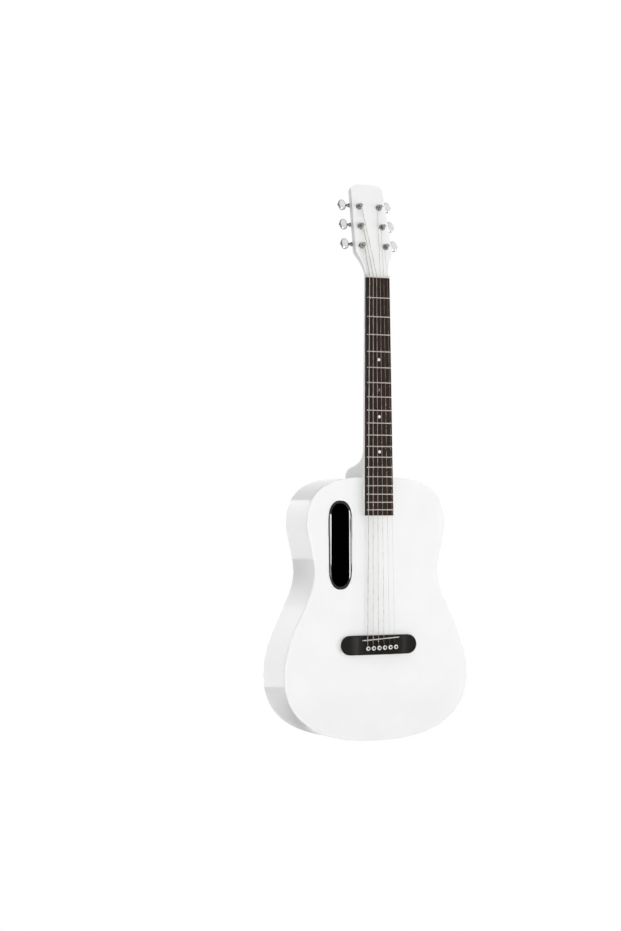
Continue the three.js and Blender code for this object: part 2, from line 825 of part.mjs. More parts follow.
// Each pin hole has a narrow slot ahead of it, where the string turns down
function pinHoles() {
  const low = bridgeFront - overrun;
  const high = plateBack + overrun;
  return stringDiameters.map((diameter, index) => {
    const { x, z } = pinPlace(index);
    const hole = rodAlongY(pinShaftRadius + boreGap, x, z, low, high);
    const slotEnd = z + stringAheadOfPin + stringSlotWidth / 2;
    const slot = box(x - stringSlotWidth / 2, x + stringSlotWidth / 2, low, high, z, slotEnd);
    return joined([hole, slot]);
  });
}

// The saddle lies further back on the bass side, where thicker strings need more length
function saddlePlace(x) {
  const share = 1 / 2 - (x - bridgeToTreble) / saddleLength;
  return -scaleLength - saddleSetback - saddleBassSetback * share;
}

function saddleBlock(length, thickness, front, back) {
  const slant = Math.atan2(saddleBassSetback, saddleLength);
  const geometry = box(-length / 2, length / 2, front, back, -thickness / 2, thickness / 2);
  geometry.rotateY(-slant);
  geometry.translate(bridgeToTreble, 0, saddlePlace(bridgeToTreble));
  return geometry;
}

// Bridge: full thickness under the saddle, falling away to both rounded ends
function bridge() {
  const centre = -scaleLength - bridgeCentreBehindScale;
  const outline = plate(stadium(bridgeLength, bridgeWidth), bridgeFront, bridgeBack);
  outline.translate(0, 0, centre);
  const half = bridgeLength / 2 + overrun;
  const flat = saddleLength / 2;
  const wingFront = bridgeBack - bridgeWingThickness;
  const section = new THREE.Shape();
  section.moveTo(-half, bridgeBack + overrun);
  section.lineTo(-half, wingFront);
  section.lineTo(-flat, bridgeFront);
  section.lineTo(flat, bridgeFront);
  section.lineTo(half, wingFront);
  section.lineTo(half, bridgeBack + overrun);
  section.closePath();
  const wedge = new THREE.ExtrudeGeometry(section, {
    depth: bridgeWidth + 2 * overrun,
    bevelEnabled: false,
  });
  wedge.translate(0, 0, centre - bridgeWidth / 2 - overrun);
  const body = toGeometry(toSolid(outline).intersect(toSolid(wedge)));
  body.translate(bridgeToTreble, 0, 0);
  const pocket = saddleBlock(saddleLength + 2 * boreGap, saddleThickness + 2 * boreGap,
    bridgeFront - overrun, bridgeFront + saddleSeatDepth);
  return cutAway(body, [pocket, ...pinHoles()]);
}

// Saddle: a slanting bone strip with a rounded crown
function saddle() {
  const seat = bridgeFront + saddleSeatDepth - seatGap;
  const half = saddleThickness / 2;
  const section = new THREE.Shape();
  section.moveTo(-half, seat);
  section.lineTo(-half, -saddleTopHeight + saddleCrownRound);
  section.quadraticCurveTo(-half, -saddleTopHeight, 0, -saddleTopHeight);
  section.quadraticCurveTo(half, -saddleTopHeight, half, -saddleTopHeight + saddleCrownRound);
  section.lineTo(half, seat);
  section.closePath();
  const strip = new THREE.ExtrudeGeometry(section, {
    depth: saddleLength,
    bevelEnabled: false,
    curveSegments: crownSteps,
  });
  strip.rotateY(-Math.PI / 2);
  strip.translate(saddleLength / 2, 0, 0);
  strip.rotateY(-Math.atan2(saddleBassSetback, saddleLength));
  strip.translate(bridgeToTreble, 0, saddlePlace(bridgeToTreble));
  return strip;
}

function bridgePlate() {
  const centre = -scaleLength - bridgeCentreBehindScale;
  const board = box(-plateLength / 2, plateLength / 2, plateFront, plateBack,
    centre - plateWidth / 2, centre + plateWidth / 2);
  return cutAway(board, pinHoles());
}

function bridgePin() {
  const seat = bridgeFront - seatGap;
  const top = seat - pinHeadHeight;
  const tip = plateBack + pinBelowPlate;
  return turned([
    [0, top],
    [pinHeadRadius / 2, top + pinCollarHeight / 4],
    [pinHeadRadius, top + pinCollarHeight],
    [pinHeadRadius, seat - pinCollarHeight],
    [pinShaftRadius, seat],
    [pinTipRadius, tip - pinTipRadius / 2],
    [pinTipRadius / 2, tip],
    [0, tip],
  ], smallRoundSteps);
}

// The turns of a string round its post, in the head's frame, from the side where the string arrives
function windingPath(index, place) {
  const diameter = stringDiameters[index];
  const turnRadius = postRadius + boreGap + diameter / 2;
  const arrival = new THREE.Vector3(
    stringX(index, stringNutSpread),
    stringNutDepth(index),
    nutThickness,
  );
  arrival.applyMatrix4(headFrame.matrix.clone().invert());
  const toPost = new THREE.Vector2(place.x - arrival.x, place.height - arrival.z);
  const lean = Math.asin(turnRadius / toPost.length());
  const travel = toPost.angle() + place.side * lean;
  const firstAngle = travel + (place.side * Math.PI) / 2;
  const steps = windingTurns * windingStepsPerTurn;
  const path = [];
  for (let step = 0; step <= steps; step += 1) {
    const turns = step / windingStepsPerTurn;
    const angle = firstAngle - place.side * 2 * Math.PI * turns;
    path.push(new THREE.Vector3(
      place.x + turnRadius * Math.cos(angle),
      -windingHeight - diameter / 2 - turns * (diameter + windingGap),
      place.height + turnRadius * Math.sin(angle),
    ));
  }
  return path;
}

// Smallest clear distance between one turn of a winding and the next
function leastTurnGap(path, diameter) {
  let least = Infinity;
  for (let first = 0; first < path.length; first += 1) {
    for (let second = first + windingStepsPerTurn / 2; second < path.length; second += 1) {
      least = Math.min(least, path[first].distanceTo(path[second]) - diameter);
    }
  }
  return least;
}

// A string: ball end under the bridge plate, over saddle and nut, then round its post
function guitarString(index, place) {
  const diameter = stringDiameters[index];
  const pin = pinPlace(index);
  const standing = pin.z + stringAheadOfPin;
  const saddleX = stringX(index, stringSaddleSpread);
  const saddleY = -saddleTopHeight - fineGap - diameter / 2;
  const nutX = stringX(index, stringNutSpread);
  const nutY = stringNutDepth(index);
  const ballTop = plateBack + seatGap;
  const winding = windingPath(index, place);
  const turnGap = leastTurnGap(winding, diameter);
  console.log(`string ${index + 1}: least gap between turns ${turnGap.toFixed(2)} mm`);
  const path = [
    new THREE.Vector3(pin.x, ballTop + ballLength, standing),
    new THREE.Vector3(pin.x, ballTop, standing),
    new THREE.Vector3(pin.x, ballTop - fineGap, standing),
    new THREE.Vector3(pin.x, bridgeFront - diameter / 2, standing),
    new THREE.Vector3(pin.x, bridgeFront - diameter, standing + diameter / 4),
    new THREE.Vector3(saddleX, saddleY, saddlePlace(saddleX) - saddleThickness / 2),
    new THREE.Vector3(nutX, nutY, fineGap),
    new THREE.Vector3(nutX, nutY, nutThickness),
    ...winding.map((point) => point.applyMatrix4(headFrame.matrix)),
  ];
  const radii = path.map((point, step) => (step < 2 ? ballRadius : diameter / 2));
  return wire(path, radii, stringSides);
}

// Tuner housing: gear case behind the head, with its threaded barrel and the flange on the head's face
function tunerHousing() {
  const shape = new THREE.Shape();
  const low = -housingBelowPost;
  const high = housingAbovePost;
  const half = housingHalfWidth;
  const round = housingRound;
  shape.moveTo(-half + round, low);
  shape.absarc(half - round, low + round, round, -Math.PI / 2, 0);
  shape.absarc(half - round, high - round, round, 0, Math.PI / 2);
  shape.absarc(-half + round, high - round, round, Math.PI / 2, Math.PI);
  shape.absarc(-half + round, low + round, round, Math.PI, 1.5 * Math.PI);
  shape.closePath();
  const caseBox = plate(shape, housingFront, housingBack, flangeChamfer, caseCornerSteps);
  const barrel = rodAlongY(barrelRadius, 0, 0, -seatGap - flangeThickness / 2, housingFront + overrun);
  const flange = turned([
    [0, -seatGap],
    [flangeRadius, -seatGap],
    [flangeRadius, -seatGap - flangeThickness + flangeChamfer],
    [flangeRadius - flangeChamfer, -seatGap - flangeThickness],
    [0, -seatGap - flangeThickness],
  ], roundSteps);
  const postBore = rodAlongY(postBoreRadius, 0, 0, -seatGap - flangeThickness - overrun, gearFront);
  const gearRoom = rodAlongY(gearRoomRadius, 0, 0, gearFront - boreGap, gearBack + boreGap);
  const footBore = rodAlongY(postFootRadius + 2 * boreGap, 0, 0,
    gearBack, gearBack + postFootLength + boreGap, hiddenRoundSteps);
  const wormRoom = rodAlongX(wormRadius + 2 * boreGap, shaftDepth, wormOffset,
    -wormLength / 2 - boreGap, wormLength / 2 + boreGap, hiddenRoundSteps);
  const shaftBore = rodAlongX(keyShaftRadius + 2 * boreGap, shaftDepth, wormOffset, 0,
    housingHalfWidth + overrun, hiddenRoundSteps);
  return cutAway(joined([caseBox, barrel, flange]),
    [postBore, gearRoom, footBore, wormRoom, shaftBore]);
}

function gearShape() {
  const shape = new THREE.Shape();
  const pitchAngle = (2 * Math.PI) / gearTeeth;
  const rootRadius = gearRadius - gearToothDepth;
  const corners = [[rootRadius, 0], [rootRadius, 1 / 4], [gearRadius, 1 / 2], [gearRadius, 3 / 4]];
  for (let tooth = 0; tooth < gearTeeth; tooth += 1) {
    for (const [radius, share] of corners) {
      const angle = (tooth + share) * pitchAngle;
      const corner = [radius * Math.cos(angle), radius * Math.sin(angle)];
      if (tooth === 0 && share === 0) {
        shape.moveTo(...corner);
      } else {
        shape.lineTo(...corner);
      }
    }
  }
  shape.closePath();
  return shape;
}

// String post: a turned shaft with a cross hole near its top and the worm wheel on its lower end
function tunerPost() {
  const top = -postHeight;
  const waistLow = -windingHeight / 2 - seatGap - flangeThickness;
  const shaft = turned([
    [0, gearBack + postFootLength],
    [postFootRadius, gearBack + postFootLength],
    [postFootRadius, gearBack],
    [postRadius, gearBack],
    [postRadius, waistLow],
    [postWaistRadius, waistLow - postRadius / 2],
    [postRadius, top + postHoleBelowTop],
    [postRadius - postHoleRadius / 2, top],
    [0, top],
  ], smallRoundSteps);
  const wheel = plate(gearShape(), gearFront, gearBack);
  const hole = rodAlongX(postHoleRadius, top + postHoleBelowTop, 0,
    -postRadius - overrun, postRadius + overrun, hiddenRoundSteps);
  return cutAway(joined([shaft, wheel]), [hole]);
}

// Tuner key: oval grip, collar and shaft with the worm on it, drawn for the treble side
function tunerKey() {
  const grip = new THREE.Shape();
  grip.absellipse(0, 0, keyWidth / 2, keyHeight / 2, 0, 2 * Math.PI);
  const paddle = new THREE.ExtrudeGeometry(grip, {
    depth: keyThickness - 2 * keyEdgeRound,
    bevelThickness: keyEdgeRound,
    bevelSize: keyEdgeRound,
    bevelOffset: -keyEdgeRound,
    bevelSegments: 1,
    curveSegments: roundSteps / 2,
  });
  paddle.rotateX(Math.PI / 2);
  paddle.translate(keyCentreFromPost, shaftDepth + keyThickness / 2 - keyEdgeRound, wormOffset);
  const innerEdge = keyCentreFromPost - keyWidth / 2;
  const collarStart = housingHalfWidth + seatGap;
  const rings = [];
  const ringPitch = wormLength / wormRings;
  for (let ring = 0; ring < wormRings; ring += 1) {
    const start = -wormLength / 2 + ring * ringPitch;
    rings.push([wormRootRadius, start], [wormRadius, start + ringPitch / 2]);
  }
  rings.push([wormRootRadius, wormLength / 2]);
  const shaft = turned([
    [0, -wormLength / 2],
    ...rings,
    [keyShaftRadius, wormLength / 2],
    [keyShaftRadius, collarStart],
    [keyCollarRadius, collarStart],
    [keyCollarRadius, collarStart + keyCollarLength],
    [keyShaftRadius, collarStart + keyCollarLength],
    [keyShaftRadius, innerEdge + overrun],
    [0, innerEdge + overrun],
  ], hiddenRoundSteps);
  shaft.rotateZ(-Math.PI / 2);
  shaft.translate(0, shaftDepth, wormOffset);
  return joined([shaft, paddle]);
}

const stringNames = ['low_e', 'a', 'd', 'g', 'b', 'high_e'];
const guitar = new THREE.Group();

function addBodyPieces(parent) {
  parent.add(piece('body_shell', bodyShell(), pearlWhite));
  parent.add(piece('soundboard', soundboard(), pearlWhite));
  parent.add(piece('soundhole_rim', soundholeRim(), lipBlack));
  parent.add(piece('bridge', bridge(), bridgeBlack));
  parent.add(piece('saddle', saddle(), boneWhite));
  parent.add(piece('bridge_plate', bridgePlate(), mapleWood));
}

function addNeckPieces(parent) {
  parent.add(piece('neck', neck(), pearlWhite));
  parent.add(piece('fingerboard', fingerboard(), darkBoard));
  parent.add(piece('nut', nut(), boneWhite));
  parent.add(piece('truss_rod', trussRod(), plainSteel));
  parent.add(piece('neck_bolt_upper', neckBolt(boltDepths[0]), plainSteel));
  parent.add(piece('neck_bolt_lower', neckBolt(boltDepths[1]), plainSteel));
  for (let fret = 1; fret <= fretCount; fret += 1) {
    parent.add(piece(`fret_${fret}`, fretWire(fret), fretMetal));
  }
}

function addStringsAndPins(parent) {
  tunerPlaces().forEach((place, index) => {
    const name = stringNames[index];
    parent.add(piece(`string_${name}`, guitarString(index, place), stringMetal));
    const pin = piece(`bridge_pin_${name}`, bridgePin(), boneWhite);
    const { x, z } = pinPlace(index);
    pin.position.set(x, 0, z);
    parent.add(pin);
  });
}

function addTuners(parent) {
  const housing = tunerHousing();
  const post = tunerPost();
  const key = tunerKey();
  tunerPlaces().forEach(({ side, x, height }, index) => {
    const name = stringNames[index];
    const sided = (geometry) => (side < 0 ? mirroredInX(geometry) : geometry);
    const pieces = [
      piece(`tuner_housing_${name}`, sided(housing), tunerChrome),
      piece(`tuner_post_${name}`, sided(post), tunerChrome),
      piece(`tuner_key_${name}`, sided(key), tunerChrome),
    ];
    for (const mesh of pieces) {
      mesh.position.set(x, 0, height);
      parent.add(mesh);
    }
  });
}

addBodyPieces(guitar);
addNeckPieces(guitar);
addStringsAndPins(guitar);
addTuners(headFrame);
guitar.add(headFrame);
guitar.position.set(0, -hangerDepth, -hangerHeight);

export default guitar;
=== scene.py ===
from math import asin, atan2, cos, hypot, pi, radians, sin, tau

import bmesh
import bpy
from mathutils import Matrix, Vector
from mathutils.geometry import tessellate_polygon


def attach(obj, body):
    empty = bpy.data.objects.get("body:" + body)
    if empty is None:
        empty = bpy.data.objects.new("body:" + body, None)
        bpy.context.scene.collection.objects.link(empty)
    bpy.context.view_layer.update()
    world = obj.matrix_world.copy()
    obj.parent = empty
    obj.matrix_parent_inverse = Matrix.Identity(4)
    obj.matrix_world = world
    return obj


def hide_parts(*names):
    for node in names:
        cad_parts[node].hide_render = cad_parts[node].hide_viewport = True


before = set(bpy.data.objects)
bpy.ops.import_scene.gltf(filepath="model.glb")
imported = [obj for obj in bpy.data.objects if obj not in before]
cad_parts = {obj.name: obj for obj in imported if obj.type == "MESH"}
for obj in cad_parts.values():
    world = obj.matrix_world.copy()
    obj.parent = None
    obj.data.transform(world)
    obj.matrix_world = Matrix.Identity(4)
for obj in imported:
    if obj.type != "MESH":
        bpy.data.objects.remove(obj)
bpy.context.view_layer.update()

scene = bpy.context.scene

# Drawing sizes are in millimetres: x to the treble side, depth back from the fingerboard's face, height up
# from the nut. The head's own drawing starts at headRoot, a (depth, height), and leans back by headTilt
drawing = {"origin": (0, 16, 22), "scaleLength": 610, "headTilt": 13.8, "headRoot": (3.2, 4.8)}
stringNames = ["low_e", "a", "d", "g", "b", "high_e"]


def stringShare(index):
    # From -1/2 at the bass side to 1/2 at the treble side
    return index / (len(stringNames) - 1) - 1 / 2


def rowPoint(point):
    return Vector([(a - b) / 1000 for a, b in zip(point, drawing["origin"])])


def headPoint(point):
    # x, depth behind the head's face and height up the face, turned into the drawing's own three
    x, back, up = point
    tilt = radians(drawing["headTilt"])
    rootDepth, rootHeight = drawing["headRoot"]
    return (x, rootDepth + back * cos(tilt) + up * sin(tilt), rootHeight + up * cos(tilt) - back * sin(tilt))


def lerp(a, b, share):
    return a + (b - a) * share


def signedPower(value, power):
    return abs(value) ** power * (1 if value > 0 else -1)


def fretDrop(fret):
    return drawing["scaleLength"] * (1 - 2 ** (-fret / 12))


def bezier(points, share):
    while len(points) > 1:
        points = [[lerp(a, b, share) for a, b in zip(p, q)] for p, q in zip(points, points[1:])]
    return points[0]


def inScene(name, data):
    item = bpy.data.objects.new(name, data)
    scene.collection.objects.link(item)
    return item


# Camera: the photograph's viewpoint, fitted to the frets, the board's edges, the bridge and the outline
camera = {"place": (-1.60295, -3.03813, -0.43852), "azimuth": -26, "elevation": -1.638, "roll": -0.228,
          "focalPixels": 2017.94, "imageHeight": 931, "sensorHeight": 36}


def makeCamera():
    a, e, r = (radians(camera[key]) for key in ("azimuth", "elevation", "roll"))
    back = Vector((sin(a) * cos(e), -cos(a) * cos(e), sin(e)))
    right = Vector((cos(a), sin(a), 0))
    up = back.cross(right)
    turn = Matrix((right * cos(r) + up * sin(r), up * cos(r) - right * sin(r), back)).transposed()
    data = bpy.data.cameras.new("guitarCamera")
    data.sensor_fit = "VERTICAL"
    data.sensor_height = camera["sensorHeight"]
    data.lens = camera["focalPixels"] * camera["sensorHeight"] / camera["imageHeight"]
    scene.camera = inScene("guitarCamera", data)
    scene.camera.matrix_world = Matrix.Translation(camera["place"]) @ turn.to_4x4()


makeCamera()


def paint(text):
    channels = [int(text[i:i + 2], 16) / 255 for i in (0, 2, 4)]
    return tuple(c / 12.92 if c <= 0.04045 else ((c + 0.055) / 1.055) ** 2.4 for c in channels) + (1,)


def addNode(tree, kind, settings, links):
    # A kind without the word Node is a shader's, and a link comes from a socket or from a node's first output
    node = tree.nodes.new(kind if "Node" in kind else "ShaderNode" + kind)
    for name, value in settings.items():
        if isinstance(name, str) and hasattr(node, name):
            setattr(node, name, value)
        else:
            node.inputs[name].default_value = value
    for name, source in links.items():
        tree.links.new(source.outputs[0] if hasattr(source, "outputs") else source, node.inputs[name])
    return node


def newMaterial(name):
    material = bpy.data.materials.new(name)
    material.use_nodes = True
    material.node_tree.nodes.clear()
    return material, material.node_tree


# Each finish mixes two noises for its tone; the broad one also varies the gloss, the fine one the relief
grain = {"broadDetail": 4, "broadRoughness": .55, "fineDetail": 2, "fineRoughness": .5, "fineShare": .35,
         "darkest": .38, "palest": .98}


def surface(name, shine, colours, broadSize, fineSize, bump, roughness):
    # The sizes are the real lengths of the two patterns in x, y and z, or one for all three, and bump is
    # (strength, depth), all lengths in millimetres
    material, tree = newMaterial(name)
    place = addNode(tree, "TexCoord", {}, {}).outputs["Object"]
    noises = []
    for kind, size in (("broad", broadSize), ("fine", fineSize)):
        scale = [1000 / length for length in (size if isinstance(size, tuple) else (size,) * 3)]
        scaled = addNode(tree, "Mapping", {"Scale": scale}, {"Vector": place})
        noises.append(addNode(tree, "TexNoise", {"Scale": 1, "Detail": grain[kind + "Detail"],
                                                 "Roughness": grain[kind + "Roughness"]}, {"Vector": scaled}))
    broad, fine = noises
    both = addNode(tree, "Math", {"operation": "MULTIPLY_ADD", 1: grain["fineShare"]}, {0: fine, 2: broad})
    tone = addNode(tree, "MapRange", {"From Min": grain["darkest"], "From Max": grain["palest"]},
                   {"Value": both})
    colour = addNode(tree, "Mix", {"data_type": "RGBA", 6: paint(colours[0]), 7: paint(colours[1])},
                     {0: tone})
    matte = addNode(tree, "MapRange", {"To Min": roughness[0], "To Max": roughness[1]}, {"Value": broad})
    relief = addNode(tree, "Bump", {"Strength": bump[0], "Distance": bump[1] / 1000}, {"Height": fine})
    shader = addNode(tree, "BsdfPrincipled", shine,
                     {"Base Color": colour.outputs[2], "Roughness": matte, "Normal": relief})
    addNode(tree, "OutputMaterial", {}, {"Surface": shader})
    return material


# White polyurethane lacquer, sprayed and polished: an even, very glossy white with a trace of orange peel
whiteLacquer = surface("whiteLacquer", {"Coat Weight": 1, "Coat Roughness": .03, "IOR": 1.5},
                       ("f2f2f2", "f6f6f6"), 60, 3, (.03, .04), (.25, .35))
# Inside faces of the moulded shell: near-black and dull, painted shade that stands for the dark inside, so
# that the sound hole reads as black
paintedShadeInside = surface("paintedShadeInside", {"IOR": 1.45, "Specular IOR Level": .1}, ("020202", "050505"), 12, 1,
                        (.4, .2), (.75, .9))
# Black ABS, moulded and buffed: deep black with crisp lines of light
blackLip = surface("blackLip", {"Coat Weight": 1, "Coat Roughness": .03, "IOR": 1.5,
                                "Specular IOR Level": .02}, ("020203", "060607"), 20, 2, (.01, .005),
                   (.1, .16))
# Ebonised hardwood, sanded and oiled: near-black with fine grain along its length
ebonisedWood = surface("ebonisedWood", {"IOR": 1.5, "Specular IOR Level": .12}, ("090706", "1a1713"),
                       (26, 3, 1.4), (9, .8, .45), (.3, .12), (.3, .44))
# Dark fingerboard wood, planed and oiled: brown-black with pores along the neck
boardWood = surface("boardWood", {"IOR": 1.48, "Specular IOR Level": .16}, ("180d07", "311f15"), (2.2, 3, 60),
                    (.6, .6, 14), (.35, .12), (.42, .58))
# Bone, sawn and polished: warm white with faint mottling
polishedBone = surface("polishedBone", {"IOR": 1.54, "Subsurface Weight": .15,
                                        "Subsurface Radius": (.002, .001, .0006)}, ("e0ddd5", "eae7e0"),
                       (7, 3, 3), (1, .6, .6), (.1, .05), (.28, .38))
# Ivory ABS, moulded: cream and satin
ivoryPlastic = surface("ivoryPlastic", {"IOR": 1.53}, ("f3f1eb", "f9f8f4"), 9, .8, (.06, .03), (.25, .34))
# Black ABS plug in the pin's head
dotPlastic = surface("dotPlastic", {"IOR": 1.53, "Specular IOR Level": .05}, ("020202", "060606"), 4, .6,
                     (.06, .03), (.2, .3))
# Mother-of-pearl plastic, ground flush: silvery white clouds
pearlPlastic = surface("pearlPlastic", {"IOR": 1.53, "Coat Weight": .5, "Coat Roughness": .1},
                       ("dcdcd7", "fbfaf5"), 1.6, .5, (.05, .02), (.2, .3))
# The same plastic, darker, for the dot at the seventh fret
dullPearl = surface("dullPearl", {"IOR": 1.53}, ("4b463f", "6e6860"), 1.6, .5, (.05, .02), (.3, .4))
# Nickel silver, drawn and polished: warm grey metal with marks along the wire
nickelSilver = surface("nickelSilver", {"Metallic": 1}, ("c4bbb2", "ddd6cc"), (12, .5, .5), (3, .2, .2),
                       (.08, .01), (.2, .3))
# Brass flanges, turned and nickel plated: a pale metal with a soft shine
nickelPlate = surface("nickelPlate", {"Metallic": 1}, ("cccac8", "dfdedc"), 4, .6, (.05, .01), (.16, .26))
# Zinc cases, die-cast and chromed: a bright mirror
chromePlate = surface("chromePlate", {"Metallic": 1}, ("d9dadb", "e9eaea"), 8, 1, (.02, .01), (.07, .12))
# Zinc grips, die-cast, tumbled and chromed: a softer mirror
satinChrome = surface("satinChrome", {"Metallic": 1}, ("d7d8d9", "e7e8e8"), 8, 1, (.03, .01), (.2, .28))
# Steel posts, hex nuts, screws and rods, turned: mid grey
turnedSteel = surface("turnedSteel", {"Metallic": 1}, ("8c8a88", "aba9a6"), 3, (.5, .5, 6), (.1, .02),
                      (.28, .4))
# Maple plate, sawn: pale wood with fine grain
sawnMaple = surface("sawnMaple", {"IOR": 1.45}, ("b9966a", "d8bb8e"), (40, 3, 3), (12, .7, .7), (.3, .15),
                    (.55, .7))

# The wrap of the wound strings is drawn coarser than it is, and the plain strings are darker than the wrap
wrap = {"pitch": .9, "bumpStrength": .7, "bumpDepth": .12, "plainTone": .7}


def stringMaterial():
    # Drawn steel: a pale grey metal, wound with fine wire on the four thick strings
    material = surface("stringSteel", {"Metallic": 1}, ("bebab4", "d7d3cc"), (1, 1, 12), (.3, .3, 2),
                       (.05, .01), (.22, .34))
    tree = material.node_tree
    along, wound = (addNode(tree, "Attribute", {"attribute_name": name}, {}).outputs["Fac"]
                    for name in ("along", "wound"))
    turns = addNode(tree, "Math", {"operation": "MULTIPLY", 1: tau * 1000 / wrap["pitch"]}, {0: along})
    wave = addNode(tree, "Math", {"operation": "SINE"}, {0: turns})
    height = addNode(tree, "Math", {"operation": "MULTIPLY"}, {0: wave, 1: wound})
    relief = addNode(tree, "Bump", {"Strength": wrap["bumpStrength"], "Distance": wrap["bumpDepth"] / 1000},
                     {"Height": height})
    shader = next(node for node in tree.nodes if node.type == "BSDF_PRINCIPLED")
    colour = shader.inputs["Base Color"].links[0].from_socket
    share = addNode(tree, "MapRange", {"To Min": wrap["plainTone"]}, {"Value": wound})
    tone = addNode(tree, "VectorMath", {"operation": "SCALE"}, {0: colour, "Scale": share})
    tree.links.new(relief.outputs[0], shader.inputs["Normal"])
    tree.links.new(tone.outputs[0], shader.inputs["Base Color"])
    return material


stringSteel = stringMaterial()
print("materials made")

# Meshes: the first two sizes are in metres, the pole's in millimetres. boxShare shapes a block's soft edge
meshing = {"weldDistance": 1e-6, "smallestEdge": 1e-7, "poleRadius": 1e-4, "boxShare": .3,
           "boxSteps": 4}


def settle(name, mesh, sharpAngle, bodyName, replaced):
    work = bmesh.new()
    work.from_mesh(mesh)
    bmesh.ops.remove_doubles(work, verts=work.verts, dist=meshing["weldDistance"])
    bmesh.ops.dissolve_degenerate(work, edges=work.edges, dist=meshing["smallestEdge"])
    bmesh.ops.recalc_face_normals(work, faces=work.faces)
    work.to_mesh(mesh)
    work.free()
    mesh.shade_smooth()
    mesh.set_sharp_from_angle(angle=radians(sharpAngle))
    piece = inScene(name, mesh)
    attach(piece, bodyName)
    if replaced:
        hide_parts(*replaced)


def meshPiece(name, parts, materials, bodyName, replaced=(), sharpAngle=32):
    # parts is a list of (points, faces, material number); points are in the drawing's millimetres
    points, faces, numbers = [], [], []
    for partPoints, partFaces, number in parts:
        first = len(points)
        points += [rowPoint(point) for point in partPoints]
        faces += [[first + corner for corner in face] for face in partFaces]
        numbers += [number] * len(partFaces)
    mesh = bpy.data.meshes.new(name)
    mesh.from_pydata(points, [], faces)
    for material in materials:
        mesh.materials.append(material)
    mesh.polygons.foreach_set("material_index", numbers)
    settle(name, mesh, sharpAngle, bodyName, replaced)


def skin(rings, ends="closed", around=True):
    # Faces between rings of equally many points. The ends are closed, open, joined to each other, or only the
    # first or the last is closed
    size, count = len(rings[0]), len(rings)
    faces = []
    for ring in range(count if ends == "joined" else count - 1):
        low, high = ring * size, (ring + 1) % count * size
        for step in range(size if around else size - 1):
            following = (step + 1) % size
            faces.append([low + step, low + following, high + following, high + step])
    if ends in ("closed", "first"):
        faces.append(list(range(size)))
    if ends in ("closed", "last"):
        faces.append(list(range((count - 1) * size, count * size)))
    return [point for ring in rings for point in ring], faces


def flatFaces(loops):
    # Triangles that fill a flat outline with holes; every loop is a list of points in the drawing
    triangles = tessellate_polygon([[Vector(point) for point in loop] for loop in loops])
    return [point for loop in loops for point in loop], [list(corners) for corners in triangles]


def arc(centre, radius, start, end, steps):
    return [(centre[0] + radius * cos(radians(lerp(start, end, k / steps))),
             centre[1] + radius * sin(radians(lerp(start, end, k / steps)))) for k in range(steps + 1)]


def bend(radius, steps, end=90):
    # An edge that turns from a side to a face: (inset, distance below the face)
    return [(radius - x, radius - z) for x, z in arc((0, 0), radius, 0, end, steps)]


def circle(radius, steps, trim=None):
    # Points round a centre; trim may change the radius with the angle. A pole's points are welded in settle
    loop = []
    for angle in [tau * k / steps for k in range(steps)]:
        reach = max(trim(radius, angle) if trim else radius, meshing["poleRadius"])
        loop.append((reach * cos(angle), reach * sin(angle)))
    return loop


def turned(profile, steps, trim=None):
    # Rings round an axis that runs in depth; profile is a list of (radius, depth)
    return [[(x, depth, z) for x, z in circle(radius, steps, trim)] for radius, depth in profile]


def shifted(profile, start):
    return [(radius, start + along) for radius, along in profile]


def bothEnds(half, ends, middle=()):
    # Stations along a bar; ends are (distance from the end, and any values), the same at either end
    return ([(along - half, *values) for along, *values in ends] + list(middle)
            + [(half - along, *values) for along, *values in reversed(ends)])


def roundedRectangle(left, right, low, high, radius, steps):
    corners = [(left + radius, low + radius, 180), (right - radius, low + radius, 270),
               (right - radius, high - radius, 0), (left + radius, high - radius, 90)]
    return [point for x, z, start in corners for point in arc((x, z), radius, start, start + 90, steps)]


def roundedBox(low, high, edge):
    # A block in the drawing with softened edges, as rings from front to back
    (x0, y0, z0), (x1, y1, z1) = low, high
    near = edge * meshing["boxShare"]
    rings = []
    for inset, depth in ((edge, y0), (near, y0 + near), (0, y0 + edge), (0, y1 - edge), (near, y1 - near),
                         (edge, y1)):
        shape = roundedRectangle(x0 + inset, x1 - inset, z0 + inset, z1 - inset, edge,
                                 meshing["boxSteps"])
        rings.append([(x, depth, z) for x, z in shape])
    return skin(rings)


# Body: halves are from its middle line, drops down from its top, and the handles shape its four curves
body = {"top": -fretDrop(14), "length": 446.3, "upperHalf": 131.3, "upperDrop": 80.5, "waistHalf": 117.4,
        "waistDrop": 159.2, "lowerHalf": 174.4, "lowerDrop": 337, "front": 9, "back": 97, "panel": 3.1,
        "wall": 3, "backRound": 6, "frontRound": 1.1, "seam": .12, "run": .6, "backRun": .7, "innerRun": .5,
        "steps": 40, "frontSteps": 6, "backSteps": 9, "innerSteps": 4,
        "handles": {"top": .495, "shoulder": .95, "underBout": .23, "aboveWaist": .277, "belowWaist": .298,
                    "aboveLower": .43, "belowLower": .565, "tail": .725}}
